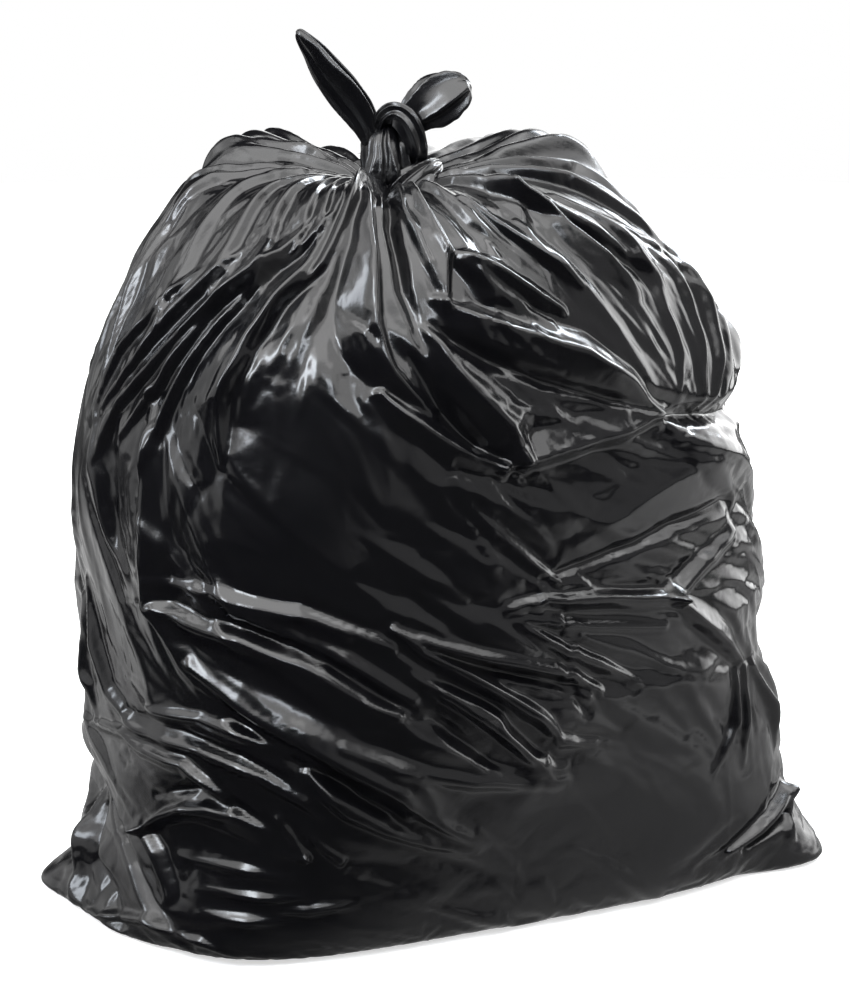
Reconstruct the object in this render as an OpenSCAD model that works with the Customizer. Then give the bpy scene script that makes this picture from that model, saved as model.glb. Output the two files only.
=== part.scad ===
// Tied full bin bag.
// One tube of thin film, welded flat across its bottom and filled with loose waste. Its mouth is
// gathered, twisted into a neck and tied in one knot, and the two ends of the film stand up as ears.
// Nobody can see into it, so it is one solid that stands on its own flattened bottom.
// A place on the film is given by an angle round the bag, with 0 at +X and 90 at +Y, and by a
// height along the film in millimetres, from 0 at the floor to FILM_TOP inside the knot.

/* [Filled body] */
// Width of the bag just above the floor
base_w = 596; // [540:4:640]
// Depth of the bag just above the floor
base_d = 348; // [300:4:390]
// Turn of the bag's bottom against its belly, in degrees
base_turn = 9.5; // [0:0.5:14]
// Height of the rounded edge along the floor
heel_h = 36; // [28:2:48]
// Width of the bag at its belly
belly_w = 570; // [520:4:640]
// Depth of the bag at its belly
belly_d = 406; // [360:4:460]
// Height of the belly's middle above the rounded edge
belly_rise = 342; // [290:2:400]
// Width of the bag at its shoulder
shoulder_w = 428; // [380:4:490]
// Depth of the bag at its shoulder
shoulder_d = 332; // [290:4:380]
// Height of the shoulder above the belly's middle
shoulder_rise = 167; // [140:1:200]
// Width of the ring where the film turns in to the neck
crown_w = 216; // [180:2:252]
// Depth of the ring where the film turns in to the neck
crown_d = 168; // [140:2:198]
// Height of that ring above the shoulder
crown_rise = 61; // [50:1:72]

/* [Bottom corners] */
// How far the weld's corner sticks out at the -X end
left_corner = 54; // [44:1:64]
// How far the weld's corner sticks out at the +X end
right_corner = 40; // [32:1:48]

/* [Gathers and folds] */
// Height of the gathers that run down from the neck
gather_h = 12; // [8:0.5:15]
// Height of the folds in the body
crease_h = 12; // [8:0.5:15]
// Height of the broad dents and ridges between the folds
dent_h = 6; // [3:0.5:8]

/* [Neck and knot] */
// Place of the neck along X
neck_x = -38; // [-60:2:0]
// Place of the neck along Y
neck_y = 10; // [-10:2:30]
// Width of the twisted neck
neck_d = 40; // [32:1:46]
// How far the foot of the neck sinks below the crown
neck_sink = 10; // [6:1:16]
// Width of the knot
knot_w = 46; // [40:1:54]
// Depth of the knot
knot_d = 38; // [34:1:46]
// Height of the knot
knot_h = 66; // [56:1:76]
// Thickness of the band that crosses the knot
band_t = 14; // [12:1:17]

/* [Ears] */
// Length of the long pointed ear
long_ear = 108; // [90:2:128]
// Width of the long pointed ear
long_ear_w = 29; // [24:1:35]
// Thickness of the long pointed ear
long_ear_t = 12; // [10:1:15]
// Lean of the long ear from upright, to the left as seen from the front left corner, in degrees
long_ear_lean = 34; // [26:1:42]
// Length of the short folded ear
short_ear = 74; // [62:1:88]
// Width of the short folded ear
short_ear_w = 40; // [34:1:47]
// Thickness of the short folded ear
short_ear_t = 24; // [20:1:29]
// Lean of the short ear from upright, to the right, in degrees
short_ear_lean = 58; // [48:1:68]

/* [Mesh] */
// Faces round the front half of the film
front_faces = 66; // [56:2:70]
// Faces round the back half of the film
back_faces = 26; // [24:2:30]
// Faces up the film
height_faces = 51; // [44:1:54]

/* [Hidden] */
FILM_COLOR = [0.05, 0.05, 0.055];

// Heights of the parts, each on the one below
belly_z = heel_h + belly_rise;
shoulder_z = belly_z + shoulder_rise;
crown_z = shoulder_z + crown_rise;
neck_z = crown_z - neck_sink;
knot_z = neck_z + knot_h / 2;
neck_r = neck_d / 2;

function mix(a, b, t) = a + (b - a) * t;
function clamp01(x) = min(max(x, 0), 1);
// 1 at the middle, falling smoothly to 0 at -1 and 1
function hill(x) = let(c = clamp01(abs(x))) 1 - c * c * (3 - 2 * c);
// Difference of two angles, from -180 to 180
function turn(a) = a - 360 * floor((a + 180) / 360);
function sum(list) = len(list) == 0 ? 0 : [for (x = list) 1] * list;
function part_of_one(x) = x - floor(x);

// Outline of the filled bag, one row for each level: height along the film, z,
// half width, half depth, squareness of the section, centre x, centre y, turn in degrees
LEVELS = [
    [0, 0,
        base_w / 2 - 16, base_d / 2 - 24, 3.6, 2, 0, -base_turn],
    [18, heel_h * 0.22,
        base_w / 2 - 4, base_d / 2 - 11, 3.6, 2, 0, -base_turn],
    [50, heel_h,
        base_w / 2, base_d / 2, 3.6, 2, 0, -base_turn * 0.95],
    [110, mix(heel_h, belly_z, 0.17),
        mix(base_w, belly_w, 0.15) / 2, mix(base_d, belly_d, 0.4) / 2, 3.3, 0, 0, -base_turn * 0.7],
    [175, mix(heel_h, belly_z, 0.36),
        mix(base_w, belly_w, 0.5) / 2, mix(base_d, belly_d, 0.72) / 2, 3.1, -2, 0, -base_turn * 0.35],
    [245, mix(heel_h, belly_z, 0.56),
        mix(base_w, belly_w, 0.75) / 2, mix(base_d, belly_d, 0.9) / 2, 2.9, -6, 2, -base_turn * 0.1],
    [395, belly_z,
        belly_w / 2, belly_d / 2, 2.6, -14, 4, 0],
    [490, mix(belly_z, shoulder_z, 0.54),
        mix(belly_w, shoulder_w, 0.3) / 2, mix(belly_d, shoulder_d, 0.24) / 2, 2.4, -14, 6, 0],
    [575, shoulder_z,
        shoulder_w / 2, shoulder_d / 2, 2.4, -18, 8, 0],
    [650, mix(shoulder_z, crown_z, 0.75),
        mix(shoulder_w, crown_w, 0.5) / 2, mix(shoulder_d, crown_d, 0.48) / 2, 2.3, -26, neck_y, 0],
    [710, crown_z,
        crown_w / 2, crown_d / 2, 2.2, mix(-26, neck_x, 0.7), neck_y, 0],
    [765, mix(crown_z, neck_z, 0.4),
        mix(crown_w / 2, neck_r, 0.63), mix(crown_d / 2, neck_r, 0.6), 2, neck_x, neck_y, 0],
    [800, neck_z,
        neck_r + 8, neck_r + 6, 2, neck_x, neck_y, 0],
    [830, neck_z + 12,
        neck_r, neck_r, 2, neck_x, neck_y, 0],
    [856, knot_z,
        neck_r - 1, neck_r - 1, 2, neck_x, neck_y, 0]
];
FILM_TOP = LEVELS[len(LEVELS) - 1][0];

// Waste that pushes the film out, or a hollow that lets it in:
// angle, height along the film, half spread in degrees, half spread in mm, push in mm
BULGES = [
    [156, 0, 34, 60, left_corner],
    [184, 0, 20, 46, left_corner * 0.26],
    [333, 8, 28, 85, right_corner],
    [212, 110, 30, 90, -10],
    [14, 665, 36, 65, 14],
    [60, 670, 36, 70, -2],
    [112, 660, 30, 60, 26],
    [150, 640, 24, 50, 14],
    [162, 132, 26, 30, -15],
    [338, 560, 34, 90, -8],
    [212, 608, 36, 76, -14],
    [206, 500, 30, 42, 6],
    [335, 400, 28, 60, -9],
    [328, 215, 28, 70, -9],
    [250, 30, 50, 70, 8]
];

// Gathers that fan out from the neck. Each is a run of points down the film, after a number from
// -1 to 1 that says how far its crest leans to one side. A point is its angle, height along the
// film, height of the crest in twelfths of gather_h (below 0 for a valley) and half width in mm
GATHERS = [
    [0.4, [108, 800, 2, 3], [112, 730, 9, 10], [124, 672, 10, 15], [127, 610, 4, 20], [128, 560, 0, 20]],
    [0.5, [135, 800, 3, 3], [128, 712, 8, 12], [134, 640, 9, 18], [146, 560, 6, 20], [152, 480, 0, 18]],
    [0.7, [152, 800, 3, 3], [146, 700, 7, 11], [141, 625, 8, 17], [154, 540, 8, 19], [162, 440, 0, 16]],
    [0.75, [166, 800, 3, 3], [158, 690, 6, 10], [160, 600, 8, 16], [164, 520, 8, 18], [170, 440, 0, 14]],
    [0.75, [178, 800, 3, 3], [176, 670, 7, 10], [181, 548, 9, 17], [173, 500, 8, 16], [168, 430, 0, 12]],
    [0.75, [189, 800, 3, 3], [190, 660, 7, 10], [190, 580, 8, 15], [180, 505, 9, 17], [168, 430, 0, 12]],
    [0.75, [197, 800, 3, 3], [200, 640, 7, 10], [205, 580, 8, 14], [189, 517, 9, 16], [177, 455, 7, 12],
     [172, 400, 0, 8]],
    [0.75, [206, 800, 3, 3], [212, 625, 8, 12], [198, 553, 10, 17], [188, 487, 9, 15], [176, 415, 0, 10]],
    [0.75, [213, 800, 3, 3], [218, 631, 7, 10], [207, 592, 8, 13], [198, 529, 10, 16], [191, 465, 9, 12],
     [188, 420, 4, 6], [187, 405, 0, 3]],
    [0.6, [219, 800, 3, 3], [222, 660, 8, 10], [216, 583, 11, 17], [209, 526, 14, 22], [206, 481, 13, 16],
     [207, 436, 4, 4], [207, 426, 0, 3]],
    [0.6, [225, 800, 3, 3], [227, 660, 8, 9], [221, 592, 9, 13], [213, 556, 8, 12], [208, 487, 2, 6]],
    [0.4, [229, 800, 3, 3], [229, 700, 8, 7], [225, 613, 9, 12], [222, 556, 8, 16], [219, 500, 0, 20]],
    [0.7, [234, 800, 3, 3], [231, 700, 10, 8], [235, 600, 17, 16], [237, 540, 16, 20], [241, 505, 10, 12],
     [247, 480, 2, 5]],
    [0, [236, 790, -1, 2], [240, 640, -12, 7], [243, 570, -9, 8], [248, 515, 0, 7]],
    [-0.3, [243, 800, 3, 3], [244, 650, 7, 6], [249, 590, 8, 9], [252, 552, 0, 4]],
    [0.3, [249, 800, 3, 3], [249, 664, 10, 8], [253, 600, 11, 10], [252, 556, 5, 4], [252, 545, 0, 3]],
    [-0.4, [258, 800, 3, 3], [256, 700, 8, 8], [262, 630, 5, 12], [270, 575, 0, 12]],
    [-0.5, [268, 800, 3, 3], [270, 710, 9, 9], [277, 650, 12, 16], [290, 595, 9, 22], [304, 540, 0, 24]],
    [0.3, [280, 800, 3, 3], [279, 700, 6, 8], [274, 640, 5, 12], [270, 580, 0, 14]],
    [-0.6, [292, 800, 3, 3], [296, 720, 9, 10], [306, 665, 12, 18], [314, 600, 5, 20], [318, 550, 0, 20]],
    [-0.5, [310, 800, 3, 3], [322, 720, 9, 10], [334, 670, 10, 15], [334, 610, 4, 18], [332, 570, 0, 18]],
    [-0.4, [326, 800, 3, 3], [346, 720, 8, 10], [355, 660, 8, 16], [352, 600, 0, 20]]
];
// Gathers at the back: evenly spread, uneven in size
BACK_GATHERS = 11;
function back_gather(i) =
    let(a = 345 + 150 * (i + 0.5) / BACK_GATHERS, odd = sin(a * 7.3))
    [0.4 * odd,
        [a - 5 * odd, 800, 2, 3],
        [a + 3 * odd, 660, 10 + 3 * odd, 16],
        [a + 8 * odd, 540 - 50 * odd, 0, 22]];

// Folds in the body, in the same way, their heights in twelfths of crease_h
FOLDS = [
    // long facets over the right shoulder, down to the pinch at the right
    [0.4, [250, 559, 4, 5], [258, 540, 12, 20], [266, 523, 15, 28], [273, 505, 15, 30], [280, 476, 12, 22],
     [287, 443, 4, 6]],
    [0, [247, 541, -2, 4], [259, 511, -8, 10], [268, 488, -8, 11], [286, 445, -2, 4]],
    [0, [247, 541, 3, 5], [254, 498, 10, 18], [262, 455, 15, 26], [265, 424, 8, 9]],
    [0, [245, 515, -2, 5], [252, 470, -8, 12], [258, 440, -6, 9]],
    [0.2, [239, 488, 5, 5], [244, 470, 9, 12], [254, 440, 11, 14], [262, 420, 8, 8]],
    [-0.4, [262, 420, 6, 6], [268, 427, 12, 16], [278, 436, 11, 18], [287, 443, 4, 6]],
    // leaf-like facets of the right shoulder, above them
    [0.3, [254, 600, 2, 5], [261, 585, 9, 14], [268, 560, 9, 14], [272, 540, 4, 6]],
    [0.3, [256, 590, 2, 4], [262, 560, 7, 12], [270, 530, 3, 6]],
    [-0.3, [262, 660, 3, 4], [268, 620, 8, 10], [273, 578, 7, 9], [276, 556, 2, 4]],
    [0.2, [271, 625, 2, 5], [275, 575, 8, 14], [281, 520, 5, 18], [286, 465, 1, 8]],
    [0.6, [276, 660, 4, 4], [281, 618, 11, 13], [286, 578, 11, 14], [291, 545, 3, 6]],
    [-0.4, [290, 650, 3, 6], [296, 600, 8, 16], [298, 545, 6, 18], [296, 490, 4, 14], [292, 450, 1, 6]],
    [0.5, [310, 592, 2, 6], [307, 540, 8, 16], [304, 499, 8, 14], [299, 440, 2, 4]],
    [0, [318, 575, 3, 8], [314, 520, 9, 16], [308, 470, 7, 12], [302, 438, 2, 4]],
    [0, [328, 545, 3, 8], [322, 500, 8, 16], [313, 455, 5, 12], [304, 436, 1, 4]],
    [0, [338, 520, 2, 8], [333, 470, 7, 16], [322, 432, 2, 8]],
    // pinch under the right shoulder, and the full petal of film below it
    [0, [287, 441, -3, 5], [293, 438, -10, 10], [300, 434, -14, 12], [310, 428, -14, 14], [330, 424, -10, 16],
     [345, 426, 0, 16]],
    [0, [289, 422, 3, 14], [300, 402, 12, 34], [312, 380, 9, 36], [324, 352, 0, 30]],
    // creases that start at the middle of the front and spread to the right
    [0.3, [263, 305, 3, 3], [268, 309, 8, 7], [274, 301, 10, 9], [284, 289, 9, 9]],
    [0, [284, 289, 9, 8], [292, 309, 10, 11], [304, 327, 5, 9]],
    [-0.3, [284, 289, 9, 8], [289, 266, 10, 12], [297, 236, 11, 13], [303, 215, 6, 6]],
    [0, [264, 297, 2, 3], [268, 291, 5, 5], [272, 279, 5, 6], [282, 266, 3, 5]],
    [0.2, [264, 297, 2, 3], [268, 277, 7, 7], [270, 262, 9, 8], [272, 248, 9, 8], [277, 224, 2, 5]],
    [0, [268, 325, -2, 4], [274, 336, -6, 8], [286, 348, -7, 9], [304, 354, -3, 8]],
    [0, [270, 345, 1, 10], [280, 375, 6, 26], [292, 392, 8, 34], [306, 396, 4, 30]],
    // creases from the middle of the front down to the right, and the hollows between them
    [0, [244, 301, 3, 3], [252, 285, 8, 7], [259, 272, 9, 8], [266, 258, 8, 8], [270, 242, 8, 8],
     [272, 224, 3, 5]],
    [0.2, [244, 301, 3, 3], [250, 281, 8, 7], [258, 258, 9, 8], [264, 234, 9, 8], [268, 213, 8, 8],
     [270, 185, 7, 7], [272, 177, 2, 4]],
    [0, [250, 284, -2, 3], [259, 265, -5, 6], [266, 246, -6, 8], [270, 228, -5, 8], [271, 205, -1, 5]],
    [0, [263, 250, 2, 4], [268, 236, 7, 8], [271, 220, 4, 6]],
    [0.2, [248, 262, 2, 4], [254, 246, 8, 8], [260, 228, 9, 9], [263, 215, 9, 9], [265, 201, 8, 8],
     [268, 181, 7, 7], [270, 162, 2, 5]],
    [0, [253, 246, 2, 3], [260, 220, 6, 5], [266, 191, 6, 5], [270, 150, 1, 4]],
    [0, [250, 240, -2, 6], [257, 210, -5, 10], [264, 180, -5, 10], [268, 165, -1, 6]],
    [0, [239, 244, 2, 4], [246, 234, 6, 7], [251, 228, 1, 4]],
    // long diagonals from the left corner across the lower front
    [0.2, [191, 313, 6, 4], [198, 303, 10, 12], [211, 295, 11, 16], [224, 276, 10, 18], [235, 254, 9, 18],
     [247, 224, 8, 16], [255, 201, 6, 14], [268, 150, 0, 8]],
    [-0.5, [198, 270, 5, 5], [210, 244, 10, 14], [226, 217, 12, 16], [237, 195, 12, 16], [248, 171, 11, 16],
     [257, 140, 9, 14], [267, 99, 0, 8]],
    [0, [200, 250, -2, 5], [212, 226, -6, 8], [228, 198, -8, 9], [240, 174, -8, 9], [250, 148, -6, 8],
     [258, 118, -1, 6]],
    [0, [236, 211, 2, 5], [248, 189, 7, 9], [262, 165, 7, 9], [270, 146, 1, 5]],
    [-0.3, [230, 189, 4, 4], [236, 169, 9, 10], [241, 154, 9, 11], [251, 132, 8, 10], [260, 112, 6, 9],
     [266, 99, 1, 5]],
    [0.2, [190, 333, 2, 5], [206, 329, 7, 12], [225, 317, 8, 13], [234, 303, 7, 11], [244, 287, 2, 6]],
    [0, [194, 318, -2, 5], [212, 308, -6, 9], [228, 286, -6, 10], [240, 256, -4, 9], [250, 226, -1, 6]],
    [0, [200, 317, 2, 5], [220, 305, 5, 9], [234, 279, 6, 10], [246, 248, 5, 9], [255, 224, 1, 5]],
    // close creases between the left flank and the pad of waste under them
    [0.3, [161, 173, 1, 4], [180, 189, 7, 7], [183, 184, 8, 8], [196, 183, 9, 8], [203, 173, 9, 8],
     [210, 160, 8, 7], [214, 148, 3, 4]],
    [0, [180, 197, 3, 4], [200, 199, 7, 7], [218, 185, 7, 8], [230, 165, 6, 7], [236, 150, 2, 4]],
    [0, [184, 220, 3, 4], [200, 226, 6, 7], [214, 217, 7, 8], [227, 203, 6, 7], [234, 187, 2, 4]],
    [0, [180, 209, -2, 3], [194, 211, -5, 5], [212, 201, -6, 6], [226, 183, -2, 4]],
    [0, [188, 150, -3, 6], [200, 165, -8, 9], [212, 156, -6, 8], [222, 144, -1, 5]],
    // corner that the waste makes down the left side, and the facets of the left flank
    [0, [185, 478, 3, 6], [188, 430, 11, 16], [189, 360, 14, 22], [189, 313, 14, 14], [196, 268, 9, 14],
     [206, 238, 2, 9]],
    [0, [176, 480, -1, 8], [177, 420, -6, 14], [179, 350, -4, 14], [180, 300, 0, 12]],
    [0, [170, 440, 1, 8], [173, 400, 6, 14], [178, 350, 4, 12], [183, 308, 0, 10]],
    [0, [166, 300, 2, 8], [170, 250, 9, 14], [176, 215, 7, 12], [185, 188, 1, 7]],
    [0, [160, 280, 2, 8], [163, 220, 8, 14], [170, 186, 2, 8]],
    // pad of waste at the lower left, its upper crest and its creases
    [0.3, [187, 118, 13, 5], [192, 136, 12, 8], [198, 146, 10, 9], [205, 150, 8, 9], [216, 146, 6, 8],
     [226, 132, 2, 6]],
    [0, [187, 118, 13, 5], [192, 101, 11, 9], [200, 71, 4, 9]],
    [0, [198, 104, 1, 4], [220, 101, 5, 6], [236, 95, 1, 4]],
    [0, [208, 81, 1, 4], [228, 79, 6, 6], [242, 81, 1, 4]],
    [0, [212, 63, 1, 4], [227, 59, 6, 6], [236, 60, 1, 4]],
    [0, [232, 69, 1, 4], [242, 71, 6, 6], [250, 70, 1, 3]],
    [0, [226, 148, 4, 4], [236, 114, 5, 5]],
    [0, [224, 120, 1, 3], [236, 114, 6, 5]],
    [0, [232, 140, 2, 3], [244, 110, 6, 6]],
    // folds into the corner of the weld at the lower left
    [0, [176, 112, -8, 6], [184, 84, -16, 10], [196, 50, -12, 12], [210, 30, -3, 8]],
    [0, [166, 104, 3, 8], [169, 84, 10, 12], [173, 54, 14, 16], [176, 18, 5, 16]],
    [0, [172, 100, -8, 8], [178, 60, -10, 12], [184, 24, -3, 10]],
    [0, [178, 11, 3, 4], [192, 40, 7, 7], [214, 36, 5, 6], [226, 24, 1, 4]],
    // folds into the corner of the weld at the lower right
    [0, [298, 47, 6, 4], [308, 61, 12, 9], [327, 83, 10, 8]],
    [0, [327, 83, 8, 6], [321, 46, 6, 6]],
    [0, [304, 44, -3, 5], [314, 56, -10, 9], [322, 64, -9, 9]],
    // folds that fan down from the right side's middle
    [0, [302, 213, 6, 5], [300, 163, 7, 8], [293, 126, 1, 5]],
    [0, [306, 207, 5, 4], [304, 160, 7, 7], [303, 126, 1, 4]],
    [0, [309, 207, 5, 4], [318, 165, 9, 8], [322, 126, 2, 5]],
    [0, [313, 215, 5, 5], [326, 190, 8, 10], [336, 150, 2, 8]],
    // long soft folds round the back
    [0.3, [340, 380, 5, 14], [10, 330, 12, 26], [44, 300, 4, 18]],
    [-0.3, [20, 470, 4, 16], [52, 410, 12, 26], [86, 390, 4, 18]],
    [0.3, [150, 480, 4, 16], [126, 400, 12, 24], [100, 350, 4, 18]],
    [0, [140, 260, 4, 14], [108, 230, 12, 24], [70, 240, 11, 24], [34, 200, 2, 14]],
    [0, [128, 130, 2, 12], [96, 120, 10, 22], [58, 90, 8, 22], [26, 100, 0, 12]],
    [0.3, [352, 240, 5, 14], [8, 180, 11, 22], [20, 100, 2, 14]]
];

// Row of a table at a place along its first column, on a smooth curve through the rows
function row_index(table, x, k = 0) =
    k >= len(table) - 2 || x < table[k + 1][0] ? k : row_index(table, x, k + 1);
function slope(table, k) =
    let(lo = max(k - 1, 0), hi = min(k + 1, len(table) - 1))
    (table[hi] - table[lo]) / (table[hi][0] - table[lo][0]);
function row_at(table, x) =
    let(
        k = row_index(table, x),
        gap = table[k + 1][0] - table[k][0],
        s = (x - table[k][0]) / gap
    )
    (2 * s * s * s - 3 * s * s + 1) * table[k] + (s * s * s - 2 * s * s + s) * gap * slope(table, k)
    + (3 * s * s - 2 * s * s * s) * table[k + 1] + (s * s * s - s * s) * gap * slope(table, k + 1);

// Length in mm of one degree round the film at a height along it
function degree_mm(film) =
    let(row = row_at(LEVELS, film), a = row[2], b = row[3])
    PI * (3 * (a + b) - sqrt((3 * a + b) * (a + 3 * b))) / 360;

// Point of a level's section, a circle stretched, squared and turned
function squared(c, power) = sign(c) * pow(abs(c), 2 / power);
function turned(p, a) = [p[0] * cos(a) - p[1] * sin(a), p[0] * sin(a) + p[1] * cos(a)];
function section_point(row, ang) =
    let(p = turned([
        row[5] + row[2] * squared(cos(ang), row[4]),
        row[6] + row[3] * squared(sin(ang), row[4])
    ], row[7]))
    [p[0], p[1], row[1]];

// An even walk round each level: for every degree of angle, how far the walk has come, in degrees
// of which 360 make the whole round. Folds are laid out along it, so they keep their widths
FILM = [for (j = [0 : height_faces]) FILM_TOP * j / height_faces];
function walk(row) =
    let(
        edge = [for (a = [0 : 360]) section_point(row, a)],
        part = [for (a = [0 : 359]) norm(edge[a + 1] - edge[a])],
        whole = sum(part)
    )
    [for (a = 0, at = 0; a <= 360; at = at + (a < 360 ? part[a] : 0), a = a + 1) [a, 360 * at / whole]];
WALKS = [for (f = FILM) walk(row_at(LEVELS, f))];
WALKS_BACK = [for (w = WALKS) [for (p = w) [p[1], p[0]]]];
// Reads a walk at an angle of any number of turns
function read_walk(w, a) = let(whole = 360 * floor(a / 360)) whole + lookup(a - whole, w);
function film_row(film) = min(max(round(film * height_faces / FILM_TOP), 0), height_faces);

// A run with its angles along the even walk and its heights in mm
function laid_out(run, height) = [
    run[0], for (k = [1 : len(run) - 1])
        let(p = run[k])
        [read_walk(WALKS[film_row(p[1])], p[0]), p[1], p[2] * height / 12, p[3]]
];
HAND_RUNS = concat(
    [for (g = GATHERS) laid_out(g, gather_h)],
    [for (i = [0 : BACK_GATHERS - 1]) laid_out(back_gather(i), gather_h)],
    [for (f = FOLDS) laid_out(f, crease_h)]
);

// Broad dents and ridges between the folds, spread evenly over the film. Each takes the direction
// of the folds round it, a little turned
BROAD = 72;
FLOW_REACH = 60;
LEGS = [for (r = HAND_RUNS, k = [1 : len(r) - 2])
    let(a = r[k], b = r[k + 1], mid = (a[1] + b[1]) / 2, deg = degree_mm(mid))
    [a[0] + turn(b[0] - a[0]) / 2, mid, deg, turn(b[0] - a[0]) * deg, b[1] - a[1]]
];
function flow(ang, film) =
    let(doubled = sum([for (l = LEGS)
        let(
            far = norm([turn(l[0] - ang) * l[2], l[1] - film]),
            share = norm([l[3], l[4]]) / pow(far * far + FLOW_REACH * FLOW_REACH, 1.5),
            twice = 2 * atan2(l[4], l[3])
        )
        share * [cos(twice), sin(twice)]
    ]))
    atan2(doubled[1], doubled[0]) / 2;
function broad(i) =
    let(
        ang = 360 * part_of_one(i * 0.618),
        film = 40 + 700 * part_of_one(i * 0.4142 + 0.3),
        way = flow(ang, film) + 30 * sin(i * 77),
        deg = degree_mm(film),
        half = 95 + 35 * sin(i * 131),
        wide = (42 + 14 * sin(i * 53)) * min(1, deg / 4.4),
        high = dent_h * (sin(i * 199) > -0.3 ? 1 : -0.8) * min(1, deg / 4.4),
        reach = [half * cos(way) / deg, half * sin(way)]
    )
    [0.3 * sin(i * 97),
        [ang - reach[0], film - reach[1], 0, wide * 0.3],
        [ang + 2 * sin(i * 31), film, high, wide],
        [ang + reach[0], film + reach[1], 0, wide * 0.3]];
RUNS = concat(HAND_RUNS, [for (i = [0 : BROAD - 1]) broad(i)]);

function run_low(r) = min([for (k = [1 : len(r) - 1]) r[k][1] - 2 * r[k][3]]);
function run_high(r) = max([for (k = [1 : len(r) - 1]) r[k][1] + 2 * r[k][3]]);

// Push of one leg of a run at an angle and a height along the film; deg is the mm in one degree
LEAST_W = 11;
function leg_push(lean, a, b, ang, film, deg) =
    let(
        along = [turn(b[0] - a[0]) * deg, b[1] - a[1]],
        at = [turn(ang - a[0]) * deg, film - a[1]],
        t = clamp01(at * along / (along * along)),
        side = sign(along[0] * at[1] - along[1] * at[0]),
        off = norm(at - t * along) / max(mix(a[3], b[3], t) * (1 - lean * side), LEAST_W)
    )
    off >= 1 ? 0 : mix(a[2], b[2], t) * (1 - off);
function run_push(r, ang, film, deg) =
    let(legs = [for (k = [1 : len(r) - 2]) leg_push(r[0], r[k], r[k + 1], ang, film, deg)])
    max(max(legs), 0) + min(min(legs), 0);

// The film as a net of points: even steps up, finer steps round the front than round the back
FRONT_FROM = 140;
FRONT_TO = 340;
ANGLES = concat(
    [for (i = [0 : front_faces - 1]) FRONT_FROM + (FRONT_TO - FRONT_FROM) * i / front_faces],
    [for (i = [0 : back_faces - 1]) FRONT_TO + (360 - FRONT_TO + FRONT_FROM) * i / back_faces]
);
ROUND = len(ANGLES);
// The columns of the net lean with the gathers at the upper left, so that a gather keeps its edge
function column(i, film) =
    ANGLES[i] - 30 * hill(turn(ANGLES[i] - 190) / 75) * hill((film - 430) / 200);
function column_angle(i, j) = read_walk(WALKS_BACK[j], column(i, FILM[j]));
plain_net = [for (j = [0 : height_faces])
    let(row = row_at(LEVELS, FILM[j]))
    [for (i = [0 : ROUND - 1]) section_point(row, column_angle(i, j))]
];

// Way out of the net at one of its points, level near the floor
function way_out(i, j) =
    let(
        round_step = plain_net[j][(i + 1) % ROUND] - plain_net[j][(i + ROUND - 1) % ROUND],
        up_step = plain_net[min(j + 1, height_faces)][i] - plain_net[max(j - 1, 0)][i],
        out = cross(round_step, up_step),
        flat = [out[0], out[1], out[2] * (1 - hill(plain_net[j][i][2] / 70))]
    )
    flat / norm(flat);
function bulge_push(ang, film) =
    sum([for (b = BULGES) b[4] * hill(turn(ang - b[0]) / b[2]) * hill((film - b[1]) / b[3])]);
function girth(j) =
    let(ring = plain_net[j])
    sum([for (i = [0 : ROUND - 1]) norm(ring[(i + 1) % ROUND] - ring[i])]);
film_net = [for (j = [0 : height_faces])
    let(
        deg = girth(j) / 360,
        near_runs = [for (r = RUNS) if (FILM[j] > run_low(r) && FILM[j] < run_high(r)) r]
    )
    [for (i = [0 : ROUND - 1])
        let(
            even = column(i, FILM[j]),
            folds = sum([for (r = near_runs) run_push(r, even, FILM[j], deg)]),
            p = plain_net[j][i] + (bulge_push(column_angle(i, j), FILM[j]) + folds) * way_out(i, j)
        )
        [p[0], p[1], j == 0 ? 0 : max(p[2], 0)]
    ]
];

// A closed form through rings of points, each ring with as many points
module rings_solid(rings) {
    n = len(rings[0]);
    last = len(rings) - 1;
    polyhedron(
        points = [for (ring = rings) each ring],
        faces = concat(
            [[for (i = [0 : n - 1]) i]],
            [[for (i = [n - 1 : -1 : 0]) last * n + i]],
            [for (j = [0 : last - 1], i = [0 : n - 1], half = [0, 1])
                let(a = j * n + i, b = j * n + (i + 1) % n)
                half == 0 ? [a, a + n, b] : [b, a + n, b + n]
            ]
        )
    );
}

// The knot and the ears are laid out as the bag is seen from its front left corner:
// to the right of the neck, in front of it, and up
LOOK = 35;
RIGHT = [cos(LOOK), -sin(LOOK), 0];
FRONT = [-sin(LOOK), -cos(LOOK), 0];
function by_neck(r, f, z) = [neck_x, neck_y, z] + r * RIGHT + f * FRONT;

// Pleated film swept along a path. A row of the path is a count, then right, front, up,
// half width and half thickness
function pleated(path, steps, sides, pleats, depth, twist) =
    let(
        last = len(path) - 1,
        rows = [for (k = [0 : steps]) row_at(path, last * k / steps)],
        mids = [for (row = rows) by_neck(row[1], row[2], row[3])]
    )
    [for (k = [0 : steps])
        let(
            step = mids[min(k + 1, steps)] - mids[max(k - 1, 0)],
            along = step / norm(step),
            facing = FRONT - (along * FRONT) * along,
            thick = facing / norm(facing),
            wide = cross(thick, along)
        )
        [for (i = [0 : sides - 1])
            let(
                a = 360 * i / sides,
                pleat = 1 + depth * (1 - 2 * abs(sin(180 * (pleats * i / sides + twist * k / steps)))),
                across = pleat * max(rows[k][4], 0.5) * cos(a),
                deep = pleat * max(rows[k][5], 0.5) * sin(a)
            )
            mids[k] + across * wide + deep * thick
        ]
    ];

// Ball at the joints of the knot's band, stretched to its own width, depth and height
module ball(at, size) {
    translate(at)
        scale(size / 10)
            sphere(d = 10, $fn = 12);
}

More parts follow.
